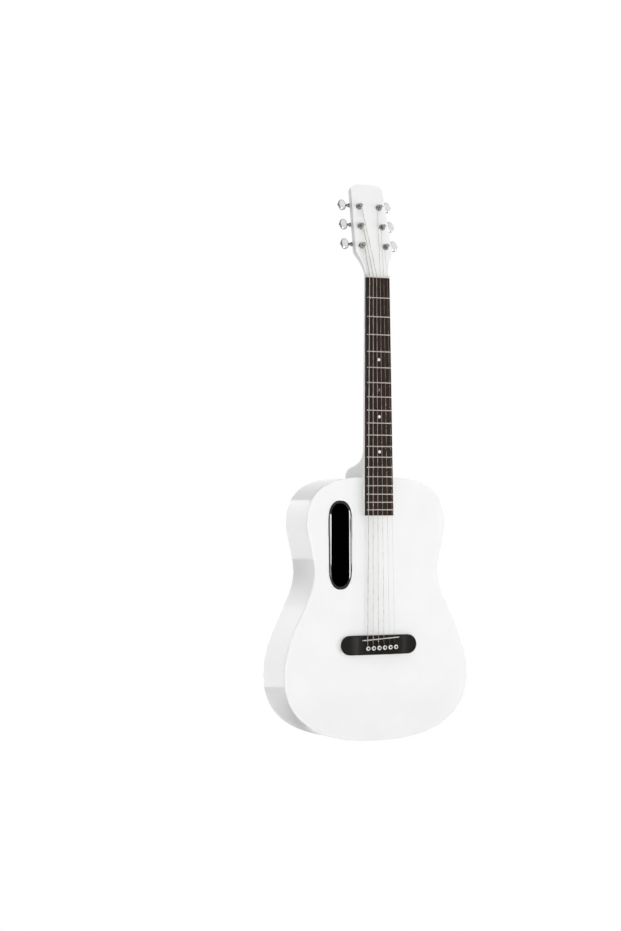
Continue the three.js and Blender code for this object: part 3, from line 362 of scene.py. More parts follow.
# Sound hole and its lip; bevel is (outwards, height) over the soundboard, from the slot up to the crest
hole = {"centreX": -70, "topDrop": 45, "width": 33.3, "height": 140.3, "topReach": 18, "bottomReach": 21,
        "outerTopReach": 36, "outerBottomReach": 38.5, "endPower": 2.1, "outerEndPower": 2.42,
        "outerShift": .85, "shoulder": .6, "shoulderReach": 20, "lipWidth": 5, "lipHeight": 1.9,
        "endWidth": 4.8, "bevelFoot": .7, "bevel": ((.05, 1.1), (.13, 1.28), (.25, 1.38), (.4, 1.43)),
        "crown": 2.2, "crownSteps": 4, "rim": .2, "fallPower": .8, "fallSteps": 10, "sleeve": 2,
        "sleeveBack": 18, "sleeveEdge": .4, "sleeveGap": .2, "sleeveRun": 2, "seatGap": .05, "endSteps": 34,
        "sideSteps": 14}
blocks = {"neckHalf": 36, "neckEnd": 31, "tailHalf": 30, "tailEnd": 16, "start": 2.6, "gap": .2, "edge": 1.5}


def bodyCurves():
    # Half of the outline, from the top round to the tail
    h, top = body["handles"], body["top"]
    upper, waist, lower = (top - body[key] for key in ("upperDrop", "waistDrop", "lowerDrop"))
    bottom = top - body["length"]
    wide, narrow, widest = (body[key] for key in ("upperHalf", "waistHalf", "lowerHalf"))
    return [
        [(0, top), (h["top"] * wide, top), (wide, upper + h["shoulder"] * (top - upper)), (wide, upper)],
        [(wide, upper), (wide, upper - h["underBout"] * (upper - waist)),
         (narrow, waist + h["aboveWaist"] * (upper - waist)), (narrow, waist)],
        [(narrow, waist), (narrow, waist - h["belowWaist"] * (waist - lower)),
         (widest, lower + h["aboveLower"] * (waist - lower)), (widest, lower)],
        [(widest, lower), (widest, lower - h["belowLower"] * (lower - bottom)), (h["tail"] * widest, bottom),
         (0, bottom)]]


def bodyLoop(inset, depth):
    # The outline at one depth, moved square to its edge
    half = [bezier(curve, k / body["steps"]) for curve in bodyCurves() for k in range(body["steps"])]
    half.append((0, body["top"] - body["length"]))
    loop = half + [(-x, z) for x, z in half[-2:0:-1]]
    points = []
    for k, (x, z) in enumerate(loop):
        before, after = loop[k - 1], loop[(k + 1) % len(loop)]
        alongX, alongZ = after[0] - before[0], after[1] - before[1]
        length = hypot(alongX, alongZ)
        points.append((x + inset * alongZ / length, depth, z - inset * alongX / length))
    return points


def holeLoop(margin, depth, endMargin=None):
    # Two straight sides joined by half ovals, which get longer towards the lip's outer edge
    outward = max(0, margin) / hole["lipWidth"]
    wide = hole["width"] / 2 + margin
    tall = hole["height"] / 2 + (margin if endMargin is None else endMargin)
    middle = body["top"] - hole["topDrop"] - hole["height"] / 2
    upper = lerp(hole["topReach"], hole["outerTopReach"], outward)
    lower = lerp(hole["bottomReach"], hole["outerBottomReach"], outward)
    power = lerp(hole["endPower"], hole["outerEndPower"], outward)
    turn = []
    for k in range(hole["endSteps"]):
        across, up = cos(pi * k / hole["endSteps"]), sin(pi * k / hole["endSteps"])
        fit = (abs(across) ** power + up ** power) ** (-1 / power)
        turn.append((across * fit, up * fit))
    side = [k / hole["sideSteps"] for k in range(hole["sideSteps"])]
    loop = [(across, tall - upper + upper * up) for across, up in turn]
    loop += [(-1, lerp(tall - upper, lower - tall, share)) for share in side]
    loop += [(-across, lower - tall - lower * up) for across, up in turn]
    loop += [(1, lerp(lower - tall, tall - upper, share)) for share in side]
    # The upper half of the lip is a little wider than its lower half
    points = []
    for across, up in loop:
        swell = outward * hole["shoulder"] * min(1, max(0, up / hole["shoulderReach"]))
        points.append((hole["centreX"] + hole["outerShift"] * outward + (wide + swell) * across, depth,
                       middle + up))
    return points


def makeBodySkin():
    # Sides and back as one pan; each section is a list of (inset from the outline, depth)
    rounded, wall, seam, run = (body[key] for key in ("backRound", "wall", "seam", "run"))
    front, back, inside = body["front"] + body["panel"], body["back"], body["back"] - wall
    outer = [(wall, front), (seam, front), (0, front + seam), (0, front + run), (0, back - rounded - run)]
    outer += [(inset, back - low) for inset, low in bend(rounded, body["backSteps"])]
    outer += [(rounded + body["backRun"], back)]
    inner = [(wall, front + body["innerRun"]), (wall, back - rounded - body["innerRun"])]
    inner += [(wall + inset, inside - low) for inset, low in bend(rounded - wall, body["innerSteps"])]
    outerRings = [bodyLoop(*place) for place in outer]
    innerRings = [outerRings[0]] + [bodyLoop(*place) for place in inner]
    # Material 1 on the inner faces is the near-black painted shade of the inside
    parts = [(*skin(outerRings, "open"), 0), (*skin(innerRings, "open"), 1),
             (*flatFaces([outerRings[-1]]), 0), (*flatFaces([innerRings[-1]]), 1)]
    meshPiece("bodySkin", parts, [whiteLacquer, paintedShadeInside], "instrument", ["body_shell"])


def makeSoundboard():
    rounded, seam, front = body["frontRound"], body["seam"], body["front"]
    back = front + body["panel"]
    edge = [(rounded + body["run"], front)]
    edge += [(inset, front + low) for inset, low in reversed(bend(rounded, body["frontSteps"]))]
    edge += [(0, back - seam), (seam, back)]
    rings = [bodyLoop(*place) for place in edge]
    wall = [holeLoop(hole["sleeve"] + hole["sleeveGap"], depth) for depth in (front, back)]
    # The soundboard's back face takes material 1, the same near-black painted shade
    parts = [(*skin(rings, "open"), 0), (*flatFaces([rings[0], wall[0]]), 0), (*skin(wall, "open"), 0),
             (*flatFaces([rings[-1], wall[1]]), 1)]
    meshPiece("soundboardPanel", parts, [whiteLacquer, paintedShadeInside], "instrument",
              ["soundboard"])


def makeSoundholeLip():
    # On the soundboard a bevel from the slot, a rising crest and a round fall outwards; behind it a sleeve
    width, height, rim, crown = (hole[key] for key in ("lipWidth", "lipHeight", "rim", "crown"))
    sleeve, back, edge = (hole[key] for key in ("sleeve", "sleeveBack", "sleeveEdge"))
    front, seat = body["front"], body["front"] - hole["seatGap"]
    crest, steps = list(hole["bevel"]), hole["crownSteps"]
    crest += [(lerp(crest[-1][0], crown, share), lerp(crest[-1][1], height, share))
              for share in [k / steps for k in range(1, steps + 1)]]
    for a in [90 * k / hole["fallSteps"] for k in range(1, hole["fallSteps"] + 1)]:
        fall = cos(radians(a)) ** hole["fallPower"]
        crest.append((lerp(crown, width, sin(radians(a))), lerp(rim, height, fall)))
    section = [(0, back - edge), (edge, back), (sleeve - edge, back), (sleeve, back - edge), (sleeve, seat),
               (width, seat)]
    section += [(along, front - rise) for along, rise in reversed(crest)]
    section += [(0, front - hole["bevelFoot"]), (0, front + hole["sleeveRun"])]
    rings = [holeLoop(margin, depth, margin * hole["endWidth"] / width if margin > sleeve else margin)
             for margin, depth in section]
    meshPiece("soundholeLip", [(*skin(rings, "joined"), 0)], [blackLip], "instrument",
              ["soundhole_rim"])


def makeInnerBlocks():
    # The neck's block and the tail's, between soundboard and back
    front, back = body["front"] + body["panel"] + blocks["gap"], body["back"] - body["wall"] - blocks["gap"]
    top, bottom = body["top"], body["top"] - body["length"]
    parts = []
    for half, low, high in ((blocks["neckHalf"], top - blocks["neckEnd"], top - blocks["start"]),
                            (blocks["tailHalf"], bottom + blocks["start"], bottom + blocks["tailEnd"])):
        parts.append((*roundedBox((-half, front, low), (half, back, high), blocks["edge"]), 0))
    meshPiece("innerBlocks", parts, [sawnMaple], "instrument")


makeBodySkin()
makeSoundboard()
makeSoundholeLip()
makeInnerBlocks()
print("body made")

# Bridge: flat up to flatHalf, then scooped down to its round ends
bridge = {"length": 140.8, "width": 32.6, "centreX": 1, "centreZ": -622.8, "back": 8.97, "thickness": 8.7,
          "wingThickness": 5.4, "flatHalf": 41, "scoopBeyond": 2, "scoopPower": 3, "edgeRound": 1.3,
          "trebleExtra": 1.6, "edgeSteps": 6, "turnSteps": 30, "wingSteps": 10,
          "middleStops": (-20, 0, 20), "topShares": (.9, .7, .4, 0)}
# Saddle: its ends are (distance from the end, share of the thickness, how far the crown is down)
saddle = {"length": 69, "thickness": 1.4, "seat": 4.3, "top": -4.9, "crown": .9, "belowCrown": .4,
          "setback": .2, "bassSetback": 4.4, "steps": 12,
          "ends": ((0, .55, .5), (.25, .85, .18), (.8, 1, 0), (1.6, 1, 0))}
# Pins: head is (radius, depth below the head's top) and shaft (radius, depth in the drawing)
pins = {"spacing": 10.6, "toTreble": 2, "headToTreble": 1, "behind": 17.9, "headUp": .5, "leanDepth": 11,
        "slant": 1.5, "headTop": -4.5, "dotRadius": 2, "dotSunk": .12, "steps": 36,
        "head": ((2.05, 0), (2.7, .02), (3.05, .14), (3.45, .5), (3.72, 1.1), (3.8, 1.8), (3.7, 2.6),
                 (3.4, 3.1), (3.05, 3.5), (2.85, 3.75), (2.95, 3.95), (2.95, 4.2), (2.5, 4.35)),
        "shaft": ((2.5, 1), (2.4, 11), (2.25, 17), (1.6, 18.2), (.8, 18.4), (0, 18.4))}


def bridgeHeight(x):
    scoop = bridge["length"] / 2 + bridge["scoopBeyond"] - bridge["flatHalf"]
    past = max(0, abs(x) - bridge["flatHalf"]) / scoop
    return lerp(bridge["wingThickness"], bridge["thickness"], (1 - past) ** bridge["scoopPower"])


def bridgePlace(across, up, depth):
    # The treble end reaches a little further than the bass end
    stretch = 1 + 2 * bridge["trebleExtra"] / bridge["length"] if across > 0 else 1
    return bridge["centreX"] + across * stretch, depth, bridge["centreZ"] + up


def makeBridge():
    radius, edge, steps = bridge["width"] / 2, bridge["edgeRound"], bridge["wingSteps"]
    reach = bridge["length"] / 2 - radius
    wing = [lerp(bridge["flatHalf"], reach, k / steps) for k in range(steps + 1)]
    stops = [-x for x in reversed(wing)] + list(bridge["middleStops"]) + wing
    turn = [(sin(radians(a)), cos(radians(a)))
            for a in [180 * k / bridge["turnSteps"] for k in range(1, bridge["turnSteps"])]]
    spine = [(x, 0, 1) for x in stops] + [(reach, across, up) for across, up in turn]
    spine += [(x, 0, -1) for x in reversed(stops)] + [(-reach, -across, -up) for across, up in turn]
    # Each level is (distance from the spine, depth below the top face)
    levels = [(radius - inset, low) for inset, low in bend(edge, bridge["edgeSteps"])]
    levels += [((radius - edge) * share, 0) for share in bridge["topShares"]]
    rings = [[bridgePlace(x + aside * radius, up * radius, bridge["back"]) for x, aside, up in spine]]
    for far, low in levels:
        places = [(x + aside * far, up * far) for x, aside, up in spine]
        rings.append([bridgePlace(x, up, bridge["thickness"] + low - bridgeHeight(x)) for x, up in places])
    meshPiece("bridgeBlock", [(*skin(rings, "first"), 0)], [ebonisedWood], "instrument",
              ["bridge"])


def saddlePlace(x):
    back = saddle["bassSetback"] * (1 / 2 - (x - bridge["centreX"]) / saddle["length"])
    return -drawing["scaleLength"] - saddle["setback"] - back


def makeSaddle():
    slant = atan2(saddle["bassSetback"], saddle["length"])
    middleX, middleZ = bridge["centreX"], saddlePlace(bridge["centreX"])
    rings = []
    for along, thin, low in bothEnds(saddle["length"] / 2, saddle["ends"], [(0, 1, 0)]):
        thick, crown = saddle["thickness"] / 2 * thin, saddle["crown"]
        foot = saddle["top"] + low + crown
        side = [(thick, foot), (thick, foot + saddle["belowCrown"]), (thick, saddle["seat"])]
        section = [(-aside, depth) for aside, depth in reversed(side)]
        section += [(-thick * cos(radians(a)), foot - crown * sin(radians(a)))
                    for a in [180 * k / saddle["steps"] for k in range(1, saddle["steps"])]] + side
        rings.append([(middleX + along * cos(slant) - aside * sin(slant), depth,
                       middleZ + along * sin(slant) + aside * cos(slant)) for aside, depth in section])
    meshPiece("boneSaddle", [(*skin(rings), 0)], [polishedBone], "instrument", ["saddle"])


def pinPlace(index, depth):
    # The pins lean a little: the heads lie further to the treble side than the holes in the plate inside
    lean = min(1, max(0, 1 - depth / pins["leanDepth"]))
    fromMiddle = index - (len(stringNames) - 1) / 2
    return (pins["spacing"] * fromMiddle + pins["toTreble"] + pins["headToTreble"] * lean,
            -drawing["scaleLength"] - pins["behind"] + pins["slant"] * stringShare(index)
            + pins["headUp"] * lean)


def makePins():
    rim = (pins["dotRadius"], pins["headTop"] + pins["dotSunk"])
    head = [rim] + shifted(pins["head"], pins["headTop"]) + list(pins["shaft"])
    for index, name in enumerate(stringNames):
        parts = []
        for profile, ends, number in (([(0, rim[1]), rim], "first", 1), (head, "last", 0)):
            rings = []
            for radius, depth in profile:
                x, z = pinPlace(index, depth)
                rings.append([(x + aside, depth, z + up) for aside, up in circle(radius, pins["steps"])])
            parts.append((*skin(rings, ends), number))
        meshPiece("bridgePin." + name, parts, [ivoryPlastic, dotPlastic], "bridge_pin_" + name,
                  ["bridge_pin_" + name])


makeBridge()
makeSaddle()
makePins()
print("bridge, saddle and pins made")

# Neck with its heel and head in one. boardLean is how far the board lies to the treble side, at the nut and
# the end; boardStart and boardEnd are (distance from that end, inset)
neck = {"nutWidth": 43.4, "endWidth": 52, "boardLength": 403.93, "front": 6.8, "depthAtNut": 20.5,
        "depthAtHeel": 22.5, "backPower": 2.3, "heelPower": 5, "edgeRound": .7, "edgeShare": .3,
        "edgeSteps": 4, "flatRun": .5, "ringSteps": 44, "start": -.3, "steps": 12, "heelFoot": .8,
        "tongueInset": .5, "tongueEnd": 3, "tongueTop": 2, "tongueEdge": .3, "tongueRise": .2,
        "tongueGap": .02, "boardThickness": 6.75, "boardRound": .6, "boardRoundSteps": 6, "boardRun": .4,
        "boardLean": (.85, 1.75), "boardSteps": 12, "boardStart": ((0, .2), (.2, 0), (.8, 0)),
        "boardEnd": ((.8, 0), (.25, .05), (0, .3))}
heel = {"sweep": 52, "shoulderDepth": 70, "shoulderRise": 18, "depth": 94, "noseRise": 10, "rootHandle": 22,
        "shoulderHandle": 30, "noseHandle": 16, "slope": .21, "upperSteps": 20, "lowerSteps": 14}
head = {"thickness": 11, "rootThickness": 16.5, "rootHeight": 36, "backPower": 30, "height": 165.1,
        "neckHalf": 22.2, "flareHeight": 41.7, "flareHalf": 35.3, "flareWaist": 18, "cornerRound": 3.6,
        "topHalf": 30.4, "topRound": 10, "topCrown": 3.2, "topStart": .5,
        "steps": (10, 16, 8, 8, 24)}


def boardHalfWidth(drop):
    return lerp(neck["nutWidth"], neck["endWidth"], drop / neck["boardLength"]) / 2


def boardMiddle(drop):
    return lerp(*neck["boardLean"], drop / neck["boardLength"])


def neckRing(halfWidth, front, back, power):
    # One section of the neck: flat in front with softened edges, rounded behind
    edge = min(neck["edgeRound"], halfWidth * neck["edgeShare"])
    first = asin(min(1, (edge / (back - front)) ** (power / 2)))
    side = halfWidth * cos(first) ** (2 / power) - edge
    left = [(neck["flatRun"] - side, front)]
    left += [(-side - edge * sin(radians(a)), front + edge - edge * cos(radians(a)))
             for a in [90 * k / neck["edgeSteps"] for k in range(neck["edgeSteps"])]]
    ring = list(left)
    for k in range(neck["ringSteps"] + 1):
        angle = lerp(first, pi - first, k / neck["ringSteps"])
        ring.append((-halfWidth * signedPower(cos(angle), 2 / power),
                     front + (back - front) * sin(angle) ** (2 / power)))
    return ring + [(-x, y) for x, y in reversed(left)]


def headOutline():
    # Half widths and heights from the top centre down to the nut
    h = head
    crown, shoulder = h["topHalf"] - h["topRound"], h["height"] - h["topCrown"]
    top, side = (crown, h["height"] - h["topCrown"] / 2), (h["topHalf"], shoulder - h["topRound"])
    flare = (h["flareHalf"], h["flareHeight"] + h["cornerRound"])
    under = (h["flareHalf"] - h["cornerRound"] / 2, h["flareHeight"] - h["cornerRound"])
    root = (h["neckHalf"], 0)
    curves = [[(0, h["height"]), (crown / 2, h["height"]), top], [top, (h["topHalf"], shoulder), side],
              [side, flare], [flare, (h["flareHalf"], h["flareHeight"]), under],
              [under, (h["neckHalf"], h["flareWaist"]), root]]
    points = [bezier(curve, k / steps) for curve, steps in zip(curves, h["steps"]) for k in range(steps)]
    return [point for point in points if point[0] > h["topStart"]] + [root]


def heelPoints():
    # (height, depth) of the back, from the neck's end down to the body
    top = body["top"]
    root, seat = (top + heel["sweep"], neck["depthAtHeel"]), (top, heel["depth"])
    shoulder = (top + heel["shoulderRise"], heel["shoulderDepth"])
    above, below = heel["shoulderHandle"], heel["noseHandle"]
    upper = [root, (root[0] - heel["rootHandle"], root[1]),
             (shoulder[0] + heel["slope"] * above, shoulder[1] - above), shoulder]
    lower = [shoulder, (shoulder[0] - heel["slope"] * below, shoulder[1] + below),
             (seat[0] + heel["noseRise"], seat[1]), seat]
    return ([bezier(upper, k / heel["upperSteps"]) for k in range(heel["upperSteps"])]
            + [bezier(lower, k / heel["lowerSteps"]) for k in range(heel["lowerSteps"] + 1)])


def makeNeck():
    rings = []
    for halfWidth, up in headOutline():
        share = max(0, 1 - up / head["rootHeight"])
        thickness = lerp(head["thickness"], head["rootThickness"], share * share)
        power = 1 / lerp(1 / head["backPower"], 1 / neck["backPower"], share)
        rings.append([headPoint((x, y, up)) for x, y in neckRing(halfWidth, 0, thickness, power)])
    # Behind the nut the face drops to the fingerboard's seat
    front, foot = neck["front"], drawing["headRoot"][1]
    rings.append([(x, max(depth, front), min(height, foot)) for x, depth, height in rings[-1]])
    points = heelPoints()
    root, backs, steps = points[0], [], neck["steps"]
    for k in range(steps + 1):
        depth = lerp(neck["depthAtNut"], neck["depthAtHeel"], k / steps)
        backs.append((lerp(neck["start"], root[0], k / steps), depth))
    for height, depth in backs + points[1:] + [(body["top"] - neck["heelFoot"], heel["depth"])]:
        share = max(0, (depth - root[1]) / (heel["depth"] - root[1]))
        power = lerp(neck["backPower"], neck["heelPower"], share)
        section = neckRing(boardHalfWidth(-height), front, depth, power)
        rings.append([(x, y, height) for x, y in section])
    half = boardHalfWidth(-body["top"]) - neck["tongueInset"]
    low = (-half, front - neck["tongueRise"], neck["tongueEnd"] - neck["boardLength"])
    high = (half, body["front"] - neck["tongueGap"], body["top"] + neck["tongueTop"])
    tongue = roundedBox(low, high, neck["tongueEdge"])
    meshPiece("neckAndHead", [(*skin(rings), 0), (*tongue, 0)], [whiteLacquer], "instrument",
              ["neck"])


def makeFingerboard():
    rounded, run, length, steps = (neck["board" + key] for key in ("Round", "Run", "Length", "Steps"))
    stations = [*neck["boardStart"], *((length * k / steps, 0) for k in range(1, steps)),
                *((length - along, inset) for along, inset in neck["boardEnd"])]
    rings = []
    for drop, inset in stations:
        half = boardHalfWidth(drop) - inset
        left = [(-half, neck["boardThickness"]), (-half, rounded + run + inset)]
        left += [(aside - half, low + inset) for aside, low in bend(rounded, neck["boardRoundSteps"])]
        left += [(rounded + run - half, inset)]
        rings.append([(x + boardMiddle(drop), y, -drop) for x, y in left
                      + [(-x, y) for x, y in reversed(left)]])
    meshPiece("fingerboardBlank", [(*skin(rings), 0)], [boardWood], "instrument",
              ["fingerboard"])


makeNeck()
makeFingerboard()
print("neck and fingerboard made")


# Pieces that repeat or follow a path are made by Geometry Nodes
def newTree(name, inputs):
    # inputs is a dictionary of label and kind of socket
    tree = bpy.data.node_groups.new(name, "GeometryNodeTree")
    tree.interface.new_socket("Geometry", in_out="OUTPUT", socket_type="NodeSocketGeometry")
    for label, kind in {"Geometry": "Geometry", **inputs}.items():
        tree.interface.new_socket(label, in_out="INPUT", socket_type="NodeSocket" + kind)
    return tree, tree.nodes.new("NodeGroupInput").outputs


def finishTree(tree, geometry, material):
    whole = addNode(tree, "GeometryNodeRealizeInstances", {}, {"Geometry": geometry})
    painted = addNode(tree, "GeometryNodeSetMaterial", {"Material": material}, {"Geometry": whole})
    addNode(tree, "NodeGroupOutput", {}, {0: painted})
    return tree


def grown(name, source, tree, values, material, replaced=(), sharpAngle=35):
    # Runs a tree on a source object and keeps the result as one plain mesh on the instrument
    modifier = source.modifiers.new(name, "NODES")
    modifier.node_group = tree
    for item in tree.interface.items_tree:
        if item.in_out == "INPUT" and item.name in values:
            modifier[item.identifier] = values[item.name]
    mesh = bpy.data.meshes.new_from_object(source.evaluated_get(bpy.context.evaluated_depsgraph_get()))
    source.modifiers.remove(modifier)
    bpy.data.objects.remove(source)
    mesh.name = name
    mesh.materials.clear()
    mesh.materials.append(material)
    settle(name, mesh, sharpAngle, "instrument", replaced)


def plainObject(name, points, faces):
    mesh = bpy.data.meshes.new(name)
    mesh.from_pydata(points, [], faces)
    return inScene(name, mesh)


def inMetres(rings):
    return [[[value / 1000 for value in point] for point in ring] for ring in rings]


# Frets: endSlope is how far each end of a wire slopes, and meanLength what it is a share of; ends are
# (share of that slope, how far down), and endRun goes on from it along the wire
frets = {"count": 18, "crownWidth": 2.2, "crownHeight": 1, "crownPower": .8, "root": .2, "sunk": .05,
         "endInset": .3, "endSlope": .8, "meanLength": 48, "ends": ((0, .6), (.35, .25), (1, 0)),
         "endRun": .01}


def fretTree():
    tree, given = newTree("fretLayout", {"Wire": "Object", "Fret Count": "Int", "Scale Length": "Float",
                                         "Nut Width": "Float", "End Width": "Float", "Board Length": "Float",
                                         "End Inset": "Float", "Nut Lean": "Float", "End Lean": "Float",
                                         "Nut Place": "Vector"})
    line = addNode(tree, "GeometryNodeMeshLine", {}, {"Count": given["Fret Count"]})
    # A fret's drop is the scale length times 1 - 2 ** (-fret / 12)
    number = addNode(tree, "Math", {"operation": "ADD", 1: 1.0},
                     {0: tree.nodes.new("GeometryNodeInputIndex")})
    octaves = addNode(tree, "Math", {"operation": "DIVIDE", 1: -12.0}, {0: number})
    halved = addNode(tree, "Math", {"operation": "POWER", 0: 2.0}, {1: octaves})
    share = addNode(tree, "Math", {"operation": "SUBTRACT", 0: 1.0}, {1: halved})
    drop = addNode(tree, "Math", {"operation": "MULTIPLY"}, {0: share, 1: given["Scale Length"]})
    down = addNode(tree, "Math", {"operation": "MULTIPLY", 1: -1.0}, {0: drop})
    lean, width = (addNode(tree, "MapRange", {"From Min": 0.0},
                           {"Value": drop, "From Max": given["Board Length"], "To Min": given["Nut " + what],
                            "To Max": given["End " + what]}) for what in ("Lean", "Width"))
    place = addNode(tree, "CombineXYZ", {}, {"X": lean, "Z": down})
    whole = addNode(tree, "VectorMath", {"operation": "ADD"}, {0: place, 1: given["Nut Place"]})
    points = addNode(tree, "GeometryNodeSetPosition", {}, {"Geometry": line, "Position": whole})
    inset = addNode(tree, "Math", {"operation": "MULTIPLY_ADD", 1: -2.0}, {0: given["End Inset"], 2: width})
    size = addNode(tree, "CombineXYZ", {"Y": 1.0, "Z": 1.0}, {"X": inset})
    wire = addNode(tree, "GeometryNodeObjectInfo", {}, {"Object": given["Wire"]})
    laid = addNode(tree, "GeometryNodeInstanceOnPoints", {},
                   {"Points": points, "Instance": wire.outputs["Geometry"], "Scale": size})
    return finishTree(tree, laid, nickelSilver)


def makeFrets():
    # One wire of unit length: a crowned section whose ends slope down and are rounded over
    half, tall, root = frets["crownWidth"] / 2, frets["crownHeight"], frets["root"]
    slope = frets["endSlope"] / frets["meanLength"]
    ends = [(share * slope, low) for share, low in frets["ends"]] + [(slope + frets["endRun"], 0)]
    rings = []
    for along, low in bothEnds(.5, ends):
        section = [(-half * cos(radians(a)), -(tall - low) * sin(radians(a)) ** frets["crownPower"])
                   for a in range(0, 181, 15)]
        rings.append([(along, y / 1000, z / 1000) for z, y in [(-half, root), *section, (half, root)]])
    wire = plainObject("fretWire", *skin(rings))
    lengths = {"Scale Length": drawing["scaleLength"], "Nut Width": neck["nutWidth"],
               "End Width": neck["endWidth"], "Board Length": neck["boardLength"],
               "End Inset": frets["endInset"], "Nut Lean": neck["boardLean"][0],
               "End Lean": neck["boardLean"][1]}
    values = {"Wire": wire, "Fret Count": frets["count"], "Nut Place": rowPoint((0, -frets["sunk"], 0)),
              **{label: length / 1000 for label, length in lengths.items()}}
    grown("fretWires", plainObject("fretSeed", [(0, 0, 0)], []), fretTree(), values, nickelSilver,
          ["fret_%d" % number for number in range(1, frets["count"] + 1)])
    bpy.data.objects.remove(wire)


def scatterTree(name, material):
    # One shape on every point of the source, turned by the angles given
    tree, given = newTree(name, {"Shape": "Object", "Turn": "Rotation"})
    shape = addNode(tree, "GeometryNodeObjectInfo", {}, {"Object": given["Shape"]})
    laid = addNode(tree, "GeometryNodeInstanceOnPoints", {},
                   {"Points": given["Geometry"], "Instance": shape.outputs["Geometry"],
                    "Rotation": given["Turn"]})
    return finishTree(tree, laid, material)


# The dots' profile is (radius, depth): they stand a hair above the board
markers = {"frets": (5, 9, 12), "dullFret": 7, "profile": ((2.7, .3), (2.7, -.02), (2.62, -.05)), "steps": 28}


def makeMarkers():
    # Round pearl dots, midway between two frets
    shape = plainObject("dotShape", *skin(inMetres(turned(markers["profile"], markers["steps"]))))
    for name, numbers, material in (("markerDots", markers["frets"], pearlPlastic),
                                    ("dullMarkerDot", (markers["dullFret"],), dullPearl)):
        middles = [(fretDrop(number) + fretDrop(number - 1)) / 2 for number in numbers]
        seed = plainObject("dotSeed", [rowPoint((boardMiddle(drop), 0, -drop)) for drop in middles], [])
        grown(name, seed, scatterTree("dotLayout", material), {"Shape": shape}, material)
    bpy.data.objects.remove(shape)


makeFrets()
makeMarkers()
print("frets and markers made")

# Strings: ball is (depth behind ballDepth, share of ballRadius) and tail, the end in the post's hole and
# beyond, (distance, share of the thickness). The bends are (depth, height): bridgeBend in diameters from the
# pin hole's mouth, saddleBend from the saddle's crown, nutRun down from the nut's top and up from its edge
strings = {"diameters": (1.35, 1.05, .8, .6, .4, .3), "woundCount": 4, "sides": 14, "nutSpread": 34.4,
           "saddleSpread": 51.6, "ballDepth": 14.8, "ballRadius": 2, "ballGap": .15,
           "ball": ((3.6, .55), (3.3, .9), (2.8, 1), (.8, 1), (.3, .9), (0, .55)), "beforePin": 4.6,
           "bridgeDepth": .6, "bridgeBend": ((-.3, .1), (-.75, .35)), "saddleLift": .05,
           "saddleBend": ((.35, -1.3), (.1, -.6), (0, 0)), "nutTop": -1.5, "nutLift": .06,
           "nutRun": ((0, .15), (0, 3.4), (.12, 4.5)), "arriveLift": .15, "turns": 2, "turnSteps": 36,
           "turnGap": .46, "height": 3, "postGap": .3, "sagStart": 3, "sag": .35, "tailSides": 12,
           "tail": ((-4.4, .8), (-4.35, 1), (-2, 1), (2, 1), (4.6, 1), (5, .8))}
# Tuners: a gear case behind the head, a washer and nut on its face, the post and the key. Profiles are
# (radius, along their axis): washer and nut in depth, caseCollar outwards from the post, postWaist above the
# head's face, postFoot and postTop from the post's ends, the key's collar, root and screw from collarStart,
# the grip's inner edge and its tip. The case, its ear and the key's dish have (inset, depth) from their faces
tuners = {"rows": (52, 87.6, 123.3), "spacings": (22.9, 20.9, 19.1), "steps": 32, "caseFront": 11.02,
          "caseBack": 20.5, "caseHalf": 8.2, "caseBelow": 8.2, "caseAbove": 13, "caseRound": 2.4,
          "caseTaper": .3, "tightest": .8, "caseFoot": ((.25, 0), (0, .25), (0, 1)), "caseBend": 2.2,
          "caseSteps": 7, "caseTurn": 80, "caseCornerSteps": 8, "earSteps": 14, "caseCrown": .2,
          "caseCap": ((3.4, .12), (5.5, 0)),
          "caseCollar": ((3.4, 7.6), (3.9, 7.9), (3.9, 8.25), (3.5, 8.45), (1.8, 8.45)),
          "earRadius": 3.4, "earDrop": 10.6, "earTop": 7, "earLevels": ((.2, 0), (0, .2), (0, 1.6), (.4, 2)),
          "washer": ((3.2, .1), (5.9, .1), (6, 0), (6, -.55), (5.75, -.85), (5.3, -.95), (3.2, -.95)),
          "nut": ((3.15, -.9), (5.4, -.9), (5.4, -2.1), (5, -2.35), (4.2, -2.5), (3.5, -2.5), (3.15, -2.3),
                  (3.12, -.9)), "washerSteps": 48, "nutFlat": 4.86, "nutSteps": 72,
          "postRadius": 3, "postHeight": 9.8, "postBack": 17.8, "postSteps": 40,
          "postFoot": ((0, 1), (2, 1), (2, 0), (3, 0)),
          "postWaist": ((3, 2.9), (2.9, 3.2), (2.65, 4), (2.6, 5), (2.65, 6.3), (2.9, 7.2), (3, 7.6)),
          "postTop": ((3, .5), (2.85, .15), (2.6, 0), (1.2, 0), (.9, .12), (0, .15)), "holeBelowTop": 1.3,
          "shaftDepth": 15.7, "wormOffset": 8.2, "shaftRadius": 1.7, "shaftStart": 4, "keyCentre": 24,
          "keyWidth": 14.8, "keyHeight": 19.4, "keyThickness": 6, "keyRound": 2.6, "keyPower": .92,
          "keyDish": ((3, .1), (4.6, .25)), "keySteps": 56, "keyRoundSteps": 8, "collarStart": 8.3,
          "collar": ((3.2, 0), (3.6, .4), (3.6, 3.4), (3.1, 4), (2.4, 4.3), (2.2, 5.2)),
          "keyRoot": ((2.2, -.6), (2.5, .6), (2.6, 2), (0, 2.2)),
          "keyScrew": ((0, -.6), (1.9, -.6), (1.9, .1), (1.6, .4), (.9, .5), (0, .5))}
# Pan-head screws; inside slotOuter a cross slot narrows the rings between its arms
screws = {"profile": ((2.1, 0), (2.1, .25), (1.9, .65), (1.4, .95), (.95, 1.05), (.8, 1.05), (.25, .35)),
          "steps": 24, "seat": 1.95, "slotOuter": .9, "slotShare": .45, "armHalf": 20}


def tunerPlaces():
    # (side, x, height up the head) in the order of stringNames
    bass = [(-1, -x, up) for x, up in zip(tuners["spacings"], tuners["rows"])]
    return bass + [(1, -x, up) for side, x, up in reversed(bass)]


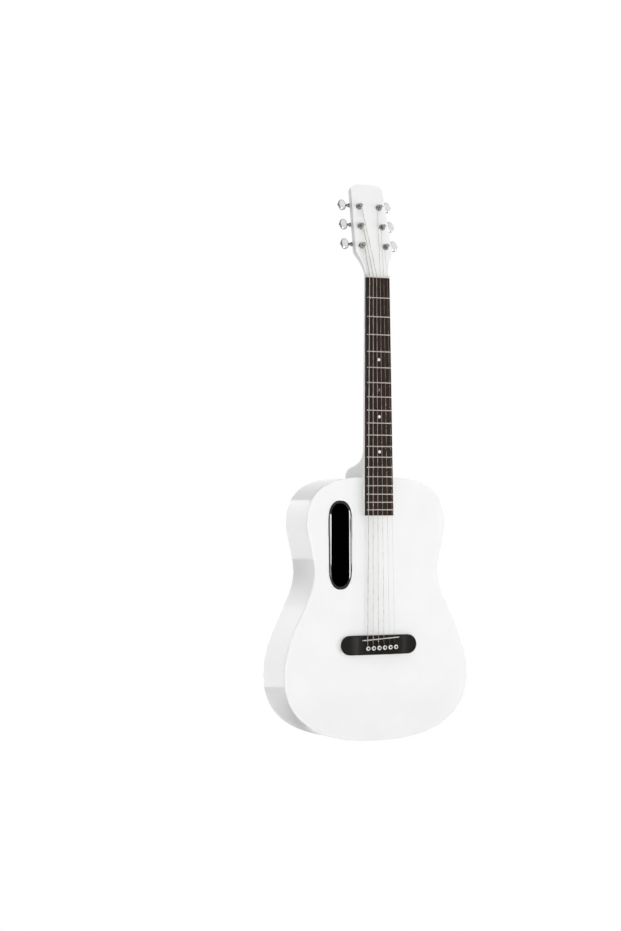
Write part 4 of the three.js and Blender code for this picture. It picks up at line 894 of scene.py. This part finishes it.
def windingPoints(index):
    # Turns round the post, in the head's own frame, from where the string first touches them
    side, postX, postUp = tunerPlaces()[index]
    thick = strings["diameters"][index]
    radius = tuners["postRadius"] + strings["postGap"] + thick / 2
    tilt = radians(drawing["headTilt"])
    rootDepth, rootHeight = drawing["headRoot"]
    depth = strings["nutTop"] - strings["arriveLift"] - thick / 2 - rootDepth
    height = strings["nutRun"][-1][1] - rootHeight
    aside = postX - strings["nutSpread"] * stringShare(index)
    rise = postUp - depth * sin(tilt) - height * cos(tilt)
    first = atan2(rise, aside) + side * asin(radius / hypot(aside, rise)) + side * pi / 2
    points = []
    for step in range(strings["turns"] * strings["turnSteps"] + 1):
        turns = step / strings["turnSteps"]
        angle = first - side * tau * turns
        level = strings["height"] + thick / 2 + turns * (thick + strings["turnGap"])
        points.append((postX + radius * cos(angle), -level, postUp + radius * sin(angle)))
    return points


def stringPath(index):
    # Ball end, up through the bridge, over saddle and nut, then round the post: (point, radius)
    s, thick = strings, strings["diameters"][index]
    x, z = pinPlace(index, s["ballDepth"])
    z += s["beforePin"]
    path = [((x, s["ballDepth"] + depth, z), s["ballRadius"] * share) for depth, share in s["ball"]]
    line = [(x, s["ballDepth"] - s["ballGap"], z)]
    x, z = pinPlace(index, 0)
    z += s["beforePin"]
    line += [(x, s["bridgeDepth"], z)] + [(x, thick * depth, z + thick * up) for depth, up in s["bridgeBend"]]
    x, y = s["saddleSpread"] * stringShare(index), saddle["top"] - s["saddleLift"] - thick / 2
    line += [(x, y + depth, saddlePlace(x) + up) for depth, up in s["saddleBend"]]
    x, y = s["nutSpread"] * stringShare(index), s["nutTop"] - s["nutLift"] - thick / 2
    line += [(x, y + depth, height) for depth, height in s["nutRun"]]
    line += [headPoint(point) for point in windingPoints(index)]
    return path + [(point, thick / 2) for point in line]


def stringTree():
    tree, given = newTree("stringRun", {"Sides": "Int", "Wound": "Float"})
    geometry = given["Geometry"]
    for name, value in (("along", addNode(tree, "GeometryNodeSplineParameter", {}, {}).outputs["Length"]),
                        ("wound", given["Wound"])):
        geometry = addNode(tree, "GeometryNodeStoreNamedAttribute",
                           {"data_type": "FLOAT", "domain": "POINT", "Name": name},
                           {"Geometry": geometry, "Value": value}).outputs[0]
    ring = addNode(tree, "GeometryNodeCurvePrimitiveCircle", {"Radius": 1.0}, {"Resolution": given["Sides"]})
    tube = addNode(tree, "GeometryNodeCurveToMesh", {"Fill Caps": True},
                   {"Curve": geometry, "Profile Curve": ring})
    if "Scale" in tube.inputs:
        tree.links.new(tree.nodes.new("GeometryNodeInputRadius").outputs[0], tube.inputs["Scale"])
    return finishTree(tree, tube, stringSteel)


def pathCurve(name, path):
    data = bpy.data.curves.new(name, "CURVE")
    data.dimensions = "3D"
    spline = data.splines.new("POLY")
    spline.points.add(len(path) - 1)
    for point, (place, radius) in zip(spline.points, path):
        point.co = (*rowPoint(place), 1)
        point.radius = radius / 1000
    return inScene(name, data)


def makeStrings():
    tree = stringTree()
    for index, name in enumerate(stringNames):
        values = {"Sides": strings["sides"], "Wound": 1.0 if index < strings["woundCount"] else 0.0}
        grown("string." + name, pathCurve("stringPath", stringPath(index)), tree, values, stringSteel,
              ["string_" + name], sharpAngle=60)


def placed(shapes, side, postX, postUp):
    # Parts out of ((points, faces), material number). They are drawn for the treble side: x outwards from the
    # post, depth behind the head's face, height above the post
    return [([headPoint((postX + side * x, depth, postUp + up)) for x, depth, up in points], faces, number)
            for (points, faces), number in shapes]


def onShaft(profile):
    # Rings round the key's shaft; profile is a list of (radius, distance from the post)
    return [[(along, tuners["shaftDepth"] + depth, tuners["wormOffset"] + up)
             for depth, up in circle(radius, tuners["steps"])] for radius, along in profile]


def fromSpoke(angle, count):
    # How far an angle is from the nearest of so many spokes
    return (angle + pi / count) % (tau / count) - pi / count


def caseRings():
    t = tuners
    edges = [(inset, t["caseFront"] + behind) for inset, behind in t["caseFoot"]]
    turn = bend(t["caseBend"], t["caseSteps"], t["caseTurn"])
    edges += [(inset, t["caseBack"] - t["caseCrown"] - low) for inset, low in turn]
    edges += [(inset, t["caseBack"] - low) for inset, low in t["caseCap"]]
    rings = []
    for inset, depth in edges:
        half, rounded = t["caseHalf"] - inset, max(t["caseRound"] - inset * t["caseTaper"], t["tightest"])
        shape = roundedRectangle(-half, half, inset - t["caseBelow"], t["caseAbove"] - inset, rounded,
                                 t["caseCornerSteps"])
        rings.append([(x, depth, z) for x, z in shape])
    return rings


def earRings():
    # A flat ear below the case, under the screw
    rings = []
    for inset, behind in tuners["earLevels"]:
        radius = tuners["earRadius"] - inset
        shape = arc((0, -tuners["earDrop"]), radius, 180, 360, tuners["earSteps"])
        shape += [(radius, -tuners["earTop"]), (-radius, -tuners["earTop"])]
        rings.append([(x, tuners["caseFront"] + behind, z) for x, z in shape])
    return rings


def makeHousings():
    def hexagon(radius, angle):
        return min(radius, tuners["nutFlat"] / cos(fromSpoke(angle, 6)))

    washer = turned(tuners["washer"], tuners["washerSteps"])
    nut = turned(tuners["nut"], tuners["nutSteps"], hexagon)
    shapes = [(skin(caseRings()), 0), (skin(earRings()), 0), (skin(onShaft(tuners["caseCollar"])), 0),
              (skin(washer, "open"), 1), (skin(nut, "joined"), 2)]
    for name, spot in zip(stringNames, tunerPlaces()):
        meshPiece("tunerCase." + name, placed(shapes, *spot), [chromePlate, nickelPlate, turnedSteel],
                  "instrument", ["tuner_housing_" + name])


def makeScrews():
    def slotted(radius, angle):
        between = abs(fromSpoke(angle, 4)) > radians(screws["armHalf"])
        return radius * screws["slotShare"] if between and radius < screws["slotOuter"] else radius

    shape = plainObject("screwShape", *skin(inMetres(turned(screws["profile"], screws["steps"], slotted))))
    seat, drop = tuners["caseFront"] + screws["seat"], tuners["earDrop"]
    places = [rowPoint(headPoint((x, seat, up - drop))) for side, x, up in tunerPlaces()]
    grown("tunerScrews", plainObject("screwSeed", places, []), scatterTree("screwLayout", turnedSteel),
          {"Shape": shape, "Turn": (-radians(drawing["headTilt"]), 0, 0)}, turnedSteel)
    bpy.data.objects.remove(shape)


def makePosts():
    t, top = tuners, -tuners["postHeight"]
    profile = shifted(t["postFoot"], t["postBack"]) + [(radius, -above) for radius, above in t["postWaist"]]
    post = skin(turned(profile + shifted(t["postTop"], top), t["postSteps"]))
    for thick, name, spot in zip(strings["diameters"], stringNames, tunerPlaces()):
        # The string's own end goes through the post's hole and bends down beyond it
        tail = []
        for along, share in strings["tail"]:
            level = top + t["holeBelowTop"] - max(0, along - strings["sagStart"]) * strings["sag"]
            tail.append([(along, level + depth, up)
                         for depth, up in circle(thick / 2 * share, strings["tailSides"])])
        meshPiece("tunerPost." + name, placed([(post, 0), (skin(tail), 1)], *spot),
                  [turnedSteel, stringSteel], "tuner_post_" + name, ["tuner_post_" + name])


def makeKeys():
    t = tuners
    thick, wide, tall = t["keyThickness"] / 2, t["keyWidth"] / 2, t["keyHeight"] / 2
    front = [(inset, thick - low) for inset, low in (*bend(t["keyRound"], t["keyRoundSteps"]), *t["keyDish"])]
    grip = []
    for inset, depth in [(inset, -depth) for inset, depth in reversed(front)] + front:
        oval = [[signedPower(value, t["keyPower"]) for value in point] for point in circle(1, t["keySteps"])]
        grip.append([(t["keyCentre"] + (wide - inset) * x, t["shaftDepth"] + depth,
                      t["wormOffset"] + (tall - inset) * z) for x, z in oval])
    shaft = [(0, t["shaftStart"]), (t["shaftRadius"], t["shaftStart"]), (t["shaftRadius"], t["collarStart"])]
    shaft += shifted(t["collar"], t["collarStart"]) + shifted(t["keyRoot"], t["keyCentre"] - wide)
    screw = shifted(t["keyScrew"], t["keyCentre"] + wide)
    shapes = [(skin(grip), 0), (skin(onShaft(shaft)), 1), (skin(onShaft(screw)), 1)]
    for name, spot in zip(stringNames, tunerPlaces()):
        meshPiece("tunerKey." + name, placed(shapes, *spot), [satinChrome, turnedSteel], "tuner_key_" + name,
                  ["tuner_key_" + name])


makeStrings()
print("strings made")
makeHousings()
makeScrews()
makePosts()
makeKeys()
print("tuners made")

# CAD pieces that stay as they are get the real material
kept = {"nut": polishedBone, "bridge_plate": sawnMaple, "truss_rod": turnedSteel,
        "neck_bolt_upper": turnedSteel, "neck_bolt_lower": turnedSteel}
for name, material in kept.items():
    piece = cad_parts[name]
    piece.data.materials.clear()
    piece.data.materials.append(material)

# Studio: a pale floor far below the guitar, a white backdrop behind it, a darker room in front and far lamps
studio = {"floorHeight": -1.3, "floorSize": 12, "floorTone": "ececec", "patchStart": .35, "patchEnd": .8,
          "shineStart": 1, "shineEnd": 1.9, "backdropLight": .92, "roomLight": .3, "turnStart": .1,
          "turnEnd": .6}
# What polished pieces mirror of the room: a dark ground that turns at each step's (start, end) of the ray's
# height into pale walls, bright panels and a dimmer ceiling; towards the left it is dark
mirrored = {"ground": .33, "walls": (-.22, -.1, .9), "higher": ((.2, .35, 1), (.72, .82, .6)),
            "left": (-.55, -.1, .12)}
lamps = {
    "keyLamp": {"place": (-.487, -3.466, -.88), "aim": (0, 0, -.6), "size": (1, 1.7), "power": 60},
    "fillLamp": {"place": (4.045, -2.94, -.75), "aim": (0, 0, -.35), "size": (1.2, 1.2), "power": 64},
    "topLamp": {"place": (0, -1.5, 2.9), "aim": (0, 0, -.4), "size": (1.5, 1.5), "power": 22},
}
# Strip lights that only polished pieces mirror, for the lines on the black lip and the strings' shine
strips = {
    "trebleStrip": {"place": (-.14, -3.01, -.54), "aim": (-.07, 0, -.5), "size": (.62, .66), "power": 29},
    "bassStrip": {"place": (4.09, -2.787, -.44), "aim": (-.07, 0, -.47), "size": (1, .34), "power": 31},
}
# A soft card close behind the bass side, seen only as a reflection: it gives the lacquered side its bands of
# light. Each band edge is (height at the middle line, slope, added brightness below it, softness), in metres
sideCard = {"depth": 106, "reach": 180, "top": -250, "bottom": -830, "middleX": -.15, "brightness": 1,
            "edges": ((-.354, -1.57, 1.15, .001), (-.45, 0, -.35, .12), (-.512, .42, -.8, .001),
                      (-.531, -.4, .75, .035), (-.562, -1.19, .3, .001), (-.712, .25, -.8, .001),
                      (-.787, 0, -1.05, .085))}


def backdropShare(tree, way):
    # 0 towards the room in front of the guitar, 1 towards the backdrop behind it
    flat = addNode(tree, "VectorMath", {"operation": "NORMALIZE"}, {0: way})
    parts = addNode(tree, "SeparateXYZ", {}, {0: flat})
    return addNode(tree, "MapRange", {"interpolation_type": "SMOOTHSTEP", "From Min": studio["turnStart"],
                                      "From Max": studio["turnEnd"]}, {"Value": parts.outputs["Y"]})


def roomShine(tree, way):
    parts = addNode(tree, "SeparateXYZ", {}, {0: way})
    height = parts.outputs["Z"]
    start, end, bright = mirrored["walls"]
    shine = addNode(tree, "MapRange", {"From Min": start, "From Max": end, "To Min": mirrored["ground"],
                                       "To Max": bright}, {"Value": height})
    for start, end, bright in mirrored["higher"]:
        step = addNode(tree, "MapRange", {"From Min": start, "From Max": end}, {"Value": height})
        shine = addNode(tree, "Mix", {"data_type": "FLOAT", 3: bright}, {0: step, 2: shine})
    start, end, dark = mirrored["left"]
    left = addNode(tree, "MapRange", {"From Min": start, "From Max": end, "To Min": dark},
                   {"Value": parts.outputs["X"]})
    return addNode(tree, "Math", {"operation": "MULTIPLY"}, {0: shine, 1: left})


def seenShare(tree, outputs):
    # 1 for the kinds of ray named, 0 for all others
    rays = tree.nodes.new("ShaderNodeLightPath").outputs
    whole = rays[outputs[0]]
    for name in outputs[1:]:
        whole = addNode(tree, "Math", {"operation": "MAXIMUM"}, {0: whole, 1: rays[name]}).outputs[0]
    return whole


def makeFloor():
    # A round patch of floor takes the light and the shadow; further out it fades into the white background
    size = studio["floorSize"] / 2
    corners = ((-size, -size), (size, -size), (size, size), (-size, size))
    floor = plainObject("studioFloor", [(x, y, studio["floorHeight"]) for x, y in corners], [(0, 1, 2, 3)])
    material, tree = newMaterial("paleFloor")
    place = addNode(tree, "TexCoord", {}, {}).outputs["Object"]
    flat = addNode(tree, "VectorMath", {"operation": "MULTIPLY", 1: (1, 1, 0)}, {0: place})
    reach = addNode(tree, "VectorMath", {"operation": "LENGTH"}, {0: flat}).outputs["Value"]
    fades = []
    for start, end in (("patchStart", "patchEnd"), ("shineStart", "shineEnd")):
        fades.append(addNode(tree, "MapRange", {"interpolation_type": "SMOOTHSTEP", "From Min": studio[start],
                                                "From Max": studio[end]}, {"Value": reach}))
    seenFade, shineFade = fades
    shine = addNode(tree, "Math", {"operation": "MULTIPLY"},
                    {0: backdropShare(tree, flat), 1: seenShare(tree, ["Is Glossy Ray"])})
    shown = addNode(tree, "Math", {"operation": "MULTIPLY"}, {0: shine, 1: shineFade})
    seen = addNode(tree, "Math", {"operation": "MULTIPLY"},
                   {0: seenShare(tree, ["Is Camera Ray", "Is Transmission Ray"]), 1: seenFade})
    share = addNode(tree, "Math", {"operation": "MAXIMUM"}, {0: seen, 1: shown})
    matte = addNode(tree, "BsdfDiffuse", {"Color": paint(studio["floorTone"])}, {})
    white = addNode(tree, "Emission", {"Color": (1, 1, 1, 1), "Strength": 1}, {})
    mixed = addNode(tree, "MixShader", {}, {0: share, 1: matte, 2: white})
    addNode(tree, "OutputMaterial", {}, {"Surface": mixed})
    floor.data.materials.append(material)


def makeBackdrop():
    scene.world = bpy.data.worlds.new("studioWorld")
    scene.world.use_nodes = True
    tree = scene.world.node_tree
    tree.nodes.clear()
    way = addNode(tree, "TexCoord", {}, {}).outputs["Generated"]
    behind = backdropShare(tree, way)
    light = addNode(tree, "MapRange", {"To Min": studio["roomLight"], "To Max": studio["backdropLight"]},
                    {"Value": behind})
    shine = addNode(tree, "Mix", {"data_type": "FLOAT", 3: 1.0}, {0: behind, 2: roomShine(tree, way)})
    lit = addNode(tree, "Mix", {"data_type": "FLOAT"},
                  {0: seenShare(tree, ["Is Glossy Ray"]), 2: light, 3: shine})
    strength = addNode(tree, "Mix", {"data_type": "FLOAT", 3: 1.0},
                       {0: seenShare(tree, ["Is Camera Ray", "Is Transmission Ray"]), 2: lit})
    sky = addNode(tree, "Background", {"Color": (1, 1, 1, 1)}, {"Strength": strength})
    addNode(tree, "OutputWorld", {}, {"Surface": sky})


def makeLamps():
    for name, lamp in {**lamps, **strips}.items():
        light = bpy.data.lights.new(name, "AREA")
        light.shape = "RECTANGLE"
        light.size, light.size_y = lamp["size"]
        light.energy = lamp["power"]
        item = inScene(name, light)
        item.location = lamp["place"]
        way = Vector(lamp["aim"]) - Vector(lamp["place"])
        item.rotation_euler = way.to_track_quat("-Z", "Y").to_euler()
        if name in strips:
            item.visible_diffuse = item.visible_transmission = item.visible_volume_scatter = False
        else:
            item.visible_glossy = False


def makeSideCard():
    # It follows the body's outline, so that the back doesn't mirror it
    card = sideCard
    inner = [(x, y, z) for x, y, z in bodyLoop(-1, card["depth"])
             if x < 0 and card["bottom"] < z < card["top"]]
    rings = [[rowPoint(point) for point in inner], [rowPoint((x - card["reach"], y, z)) for x, y, z in inner]]
    item = plainObject("sideCard", *skin(rings, "open", False))
    material, tree = newMaterial("glowingCard")
    place = addNode(tree, "TexCoord", {}, {}).outputs["Object"]
    parts = addNode(tree, "SeparateXYZ", {}, {0: place}).outputs
    aside = addNode(tree, "Math", {"operation": "SUBTRACT", 1: card["middleX"]}, {0: parts["X"]})
    glow = addNode(tree, "Value", {}, {})
    glow.outputs[0].default_value = card["brightness"]
    for height, slope, added, soft in card["edges"]:
        edge = addNode(tree, "Math", {"operation": "MULTIPLY_ADD", 1: -slope}, {0: aside, 2: parts["Z"]})
        below = addNode(tree, "MapRange", {"From Min": height + soft / 2, "From Max": height - soft / 2,
                                           "To Max": added}, {"Value": edge})
        glow = addNode(tree, "Math", {"operation": "ADD"}, {0: glow, 1: below})
    light = addNode(tree, "Emission", {"Color": (1, 1, 1, 1)}, {"Strength": glow})
    addNode(tree, "OutputMaterial", {}, {"Surface": light})
    item.data.materials.append(material)
    for ray in ("camera", "diffuse", "transmission", "volume_scatter", "shadow"):
        setattr(item, "visible_" + ray, False)


makeFloor()
makeBackdrop()
makeLamps()
makeSideCard()
scene.view_settings.view_transform = "Standard"
print("studio made")
